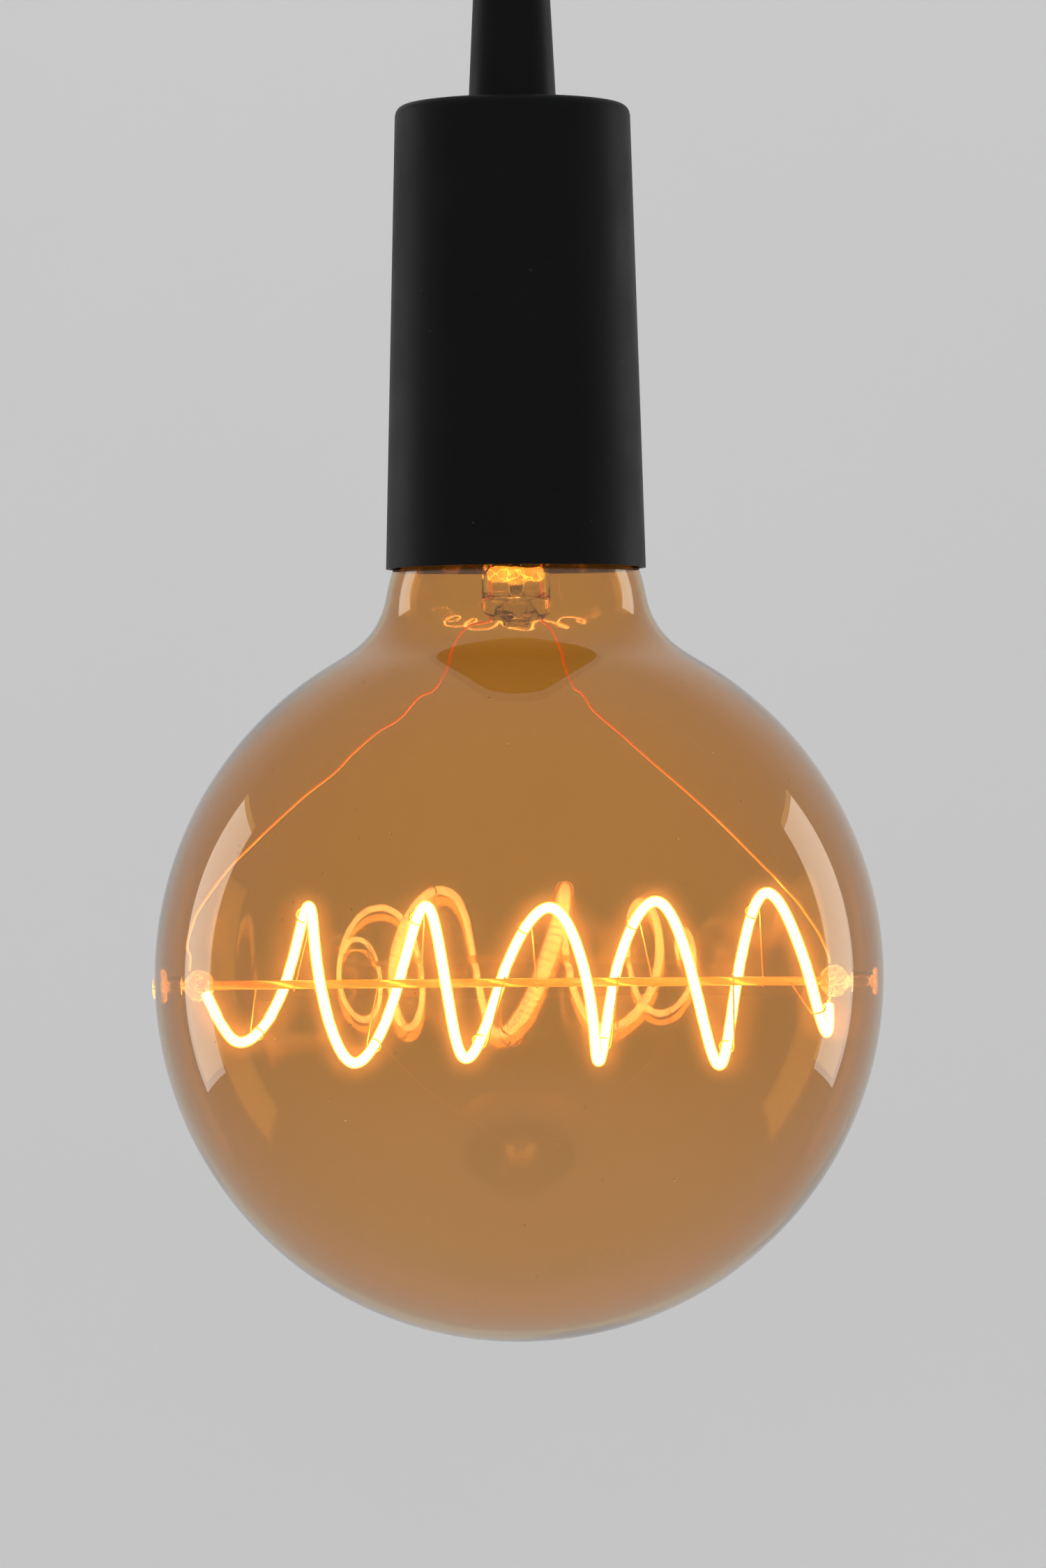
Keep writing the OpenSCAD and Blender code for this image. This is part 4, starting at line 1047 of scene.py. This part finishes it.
def make_stem_weld():
    """Crumpled ring of melted glass between the exhaust tube and the stem's wall."""
    low = STEM_Z + 7.0
    high = low + 2.4
    line = [(1.75, low + 0.4), (2.4, low + 0.15), (3.4, low), (4.3, low + 0.15), (4.75, low + 0.5)]
    line += [(4.85, low + 1.0), (4.8, high - 0.6), (4.6, high - 0.1), (4.0, high), (3.2, high - 0.3)]
    line += [(2.4, high - 0.5), (1.8, high - 0.7), (1.68, low + 1.2)]
    rows = [(p[0], p[1]) for p in eased([(r, z, 0) for r, z in line + line[:1]], 3)[:-1]]
    weld = lathe("stem_weld", rows, even_angles(120), closed=True,
                 change=crumpled(0.3, low + 20, low + 21, 5))
    # The weld gets a painted glow and painted glints, standing for the filament's light caught in it
    weld.data.materials.append(MELTED_AMBER_PAINTED_GLOW)
    dress(weld, "stem_glass", "lamp")


# Bubbles in the wall

def bubble_tree():
    """Geometry tree that scatters small bubbles over a surface."""
    tree, start, end = geometry_group("scattered_bubbles", [
        ("Density", "NodeSocketFloat"),
        ("Smallest", "NodeSocketFloat"),
        ("Largest", "NodeSocketFloat"),
        ("Seed", "NodeSocketInt"),
        ("Finish", "NodeSocketMaterial"),
    ])
    spread = add(tree, "GeometryNodeDistributePointsOnFaces", {
        "Mesh": start.outputs["Geometry"],
        "Density": start.outputs["Density"],
        "Seed": start.outputs["Seed"]})
    ball = add(tree, "GeometryNodeMeshIcoSphere", {"Radius": 1.0, "Subdivisions": 2})
    size = add(tree, "FunctionNodeRandomValue", {"Seed": start.outputs["Seed"]}, data_type="FLOAT")
    tree.links.new(start.outputs["Smallest"], size.inputs[2])
    tree.links.new(start.outputs["Largest"], size.inputs[3])
    placed = add(tree, "GeometryNodeInstanceOnPoints", {
        "Points": spread.outputs["Points"],
        "Instance": ball.outputs["Mesh"],
        "Scale": size.outputs[1]})
    plain = add(tree, "GeometryNodeRealizeInstances", {"Geometry": placed.outputs["Instances"]})
    rounded = add(tree, "GeometryNodeSetShadeSmooth", {"Geometry": plain.outputs["Geometry"]})
    finished = add(tree, "GeometryNodeSetMaterial", {
        "Geometry": rounded.outputs["Geometry"], "Material": start.outputs["Finish"]})
    tree.links.new(finished.outputs["Geometry"], end.inputs["Geometry"])
    return tree


def make_bubbles():
    """Small bubbles half way through the globe's wall."""
    middle = wall_rows(eased_outline(), GLASS_T / 2)[::4]
    way = lathe("glass_bubbles_way", middle[:-8], even_angles(60))
    bubbles = grown("glass_bubbles", way, bubble_tree(), {
        "Density": 3000.0,
        "Smallest": 0.00005,
        "Largest": 0.00021,
        "Seed": 4,
        "Finish": FINISHES["stem_glass"]})
    dress(bubbles, "stem_glass", "lamp")


# Stage, light and camera

def make_world():
    """Even pale studio all round. Seen, mirrored or through glass, it is as bright as the far floor."""
    world = bpy.data.worlds.new("studio")
    bpy.context.scene.world = world
    world.use_nodes = True
    tree = world.node_tree
    tree.nodes.clear()
    light = add(tree, "ShaderNodeBackground", {"Color": (1, 1, 1, 1), "Strength": STUDIO_LIGHT})
    seen = add(tree, "ShaderNodeBackground", {"Color": (1, 1, 1, 1), "Strength": STUDIO_SEEN})
    ray = add(tree, "ShaderNodeLightPath")
    straight_on = add(tree, "ShaderNodeMath", {
        0: ray.outputs["Is Camera Ray"], 1: ray.outputs["Is Glossy Ray"]}, operation="MAXIMUM")
    looked_at = add(tree, "ShaderNodeMath", {
        0: straight_on.outputs["Value"], 1: ray.outputs["Is Transmission Ray"]}, operation="MAXIMUM")
    both = add(tree, "ShaderNodeMixShader", {
        0: looked_at.outputs["Value"], 1: light.outputs["Background"], 2: seen.outputs["Background"]})
    end = tree.nodes.new("ShaderNodeOutputWorld")
    tree.links.new(both.outputs["Shader"], end.inputs["Surface"])


def make_floor():
    """Wide pale floor that curves up into a backdrop behind the lamp."""
    bend = arc(FLOOR_BEND_Y, FLOOR_Z + FLOOR_BEND_R, FLOOR_BEND_R, -90, 0, 16)
    line = [(-FLOOR_REACH, FLOOR_Z)] + bend + [(FLOOR_BEND_Y + FLOOR_BEND_R, BACKDROP_TOP_Z)]
    points = [(x * 1000, y * 1000, z * 1000) for y, z in line for x in (-FLOOR_REACH, FLOOR_REACH)]
    faces = [(2 * i, 2 * i + 1, 2 * i + 3, 2 * i + 2) for i in range(len(line) - 1)]
    floor = mesh_piece("studio_floor", points, faces)
    made, tree = new_material("studio_paper")
    grain = use(tree, GRAIN, {"Grain Size": 300.0, "Patch Size": 1.5})
    base = mixed_colour(tree, grain.outputs["Patches"], (0.84, 0.84, 0.84), (0.86, 0.86, 0.86))
    paper = add(tree, "ShaderNodeBsdfPrincipled", {
        "Base Color": base, "Roughness": 0.9, "Specular IOR Level": 0.1})
    floor.data.materials.append(finish_material(made, paper.outputs["BSDF"]))


def soft_box(name, place, aim, width, height, watts, mirrored=False):
    """Soft lamp that isn't seen. Only a mirrored one shows in the glass."""
    lamp = bpy.data.lights.new(name, "AREA")
    lamp.shape = "RECTANGLE"
    lamp.size = width
    lamp.size_y = height
    lamp.energy = watts
    thing = add_object(name, lamp)
    thing.location = place
    thing.rotation_euler = (Vector(aim) - Vector(place)).to_track_quat("-Z", "Y").to_euler()
    thing.visible_camera = False
    thing.visible_glossy = mirrored
    thing.visible_transmission = mirrored


def make_lights():
    """Two tall strips that the globe mirrors, two soft fills and a wash on the backdrop."""
    middle = (0, 0, -0.15)
    soft_box("strip_left", (-1.02, 0.566, -0.08), middle, 0.34, 0.95, 1.5, True)
    soft_box("strip_right", (1.02, 0.566, -0.08), middle, 0.34, 0.95, 1.5, True)
    soft_box("fill_top", (-0.3, -0.7, 1.6), middle, 1.4, 1.4, 10)
    soft_box("fill_front", (0.5, -2.2, 0.3), middle, 1.6, 1.6, 6)
    soft_box("backdrop_wash", (0, 0.8, 2.2), (0, 2.4, -0.4), 2.5, 0.8, 13)


def make_camera():
    """Camera at the photo's angle and distance."""
    data = bpy.data.cameras.new("photo_view")
    data.sensor_width = 36
    data.lens = CAMERA_LENS
    data.clip_start = 0.05
    data.clip_end = 30
    view = add_object("photo_view", data)
    view.location = CAMERA_PLACE
    level = Matrix.Rotation(math.radians(90), 4, "X")
    view.rotation_euler = (level @ Matrix.Rotation(math.radians(CAMERA_LEAN), 4, "Z")).to_euler()
    bpy.context.scene.camera = view


def make_everything():
    make_camera()
    dress_cad_nodes()
    make_envelope()
    make_filament()
    make_leads()
    make_anchors()
    make_rod()
    for side, word in ((-1, "left"), (1, "right")):
        make_bead(side, word)
        make_stub(side, word)
    make_wall_drop(-1, "left", 2.9, 1.32, 0.9)
    make_wall_drop(1, "right", 2.35, 0.7, 0.75)
    make_stem()
    make_exhaust()
    make_stem_weld()
    make_bubbles()
    make_world()
    make_floor()
    make_lights()
    bpy.context.scene.view_settings.view_transform = "Standard"


make_everything()
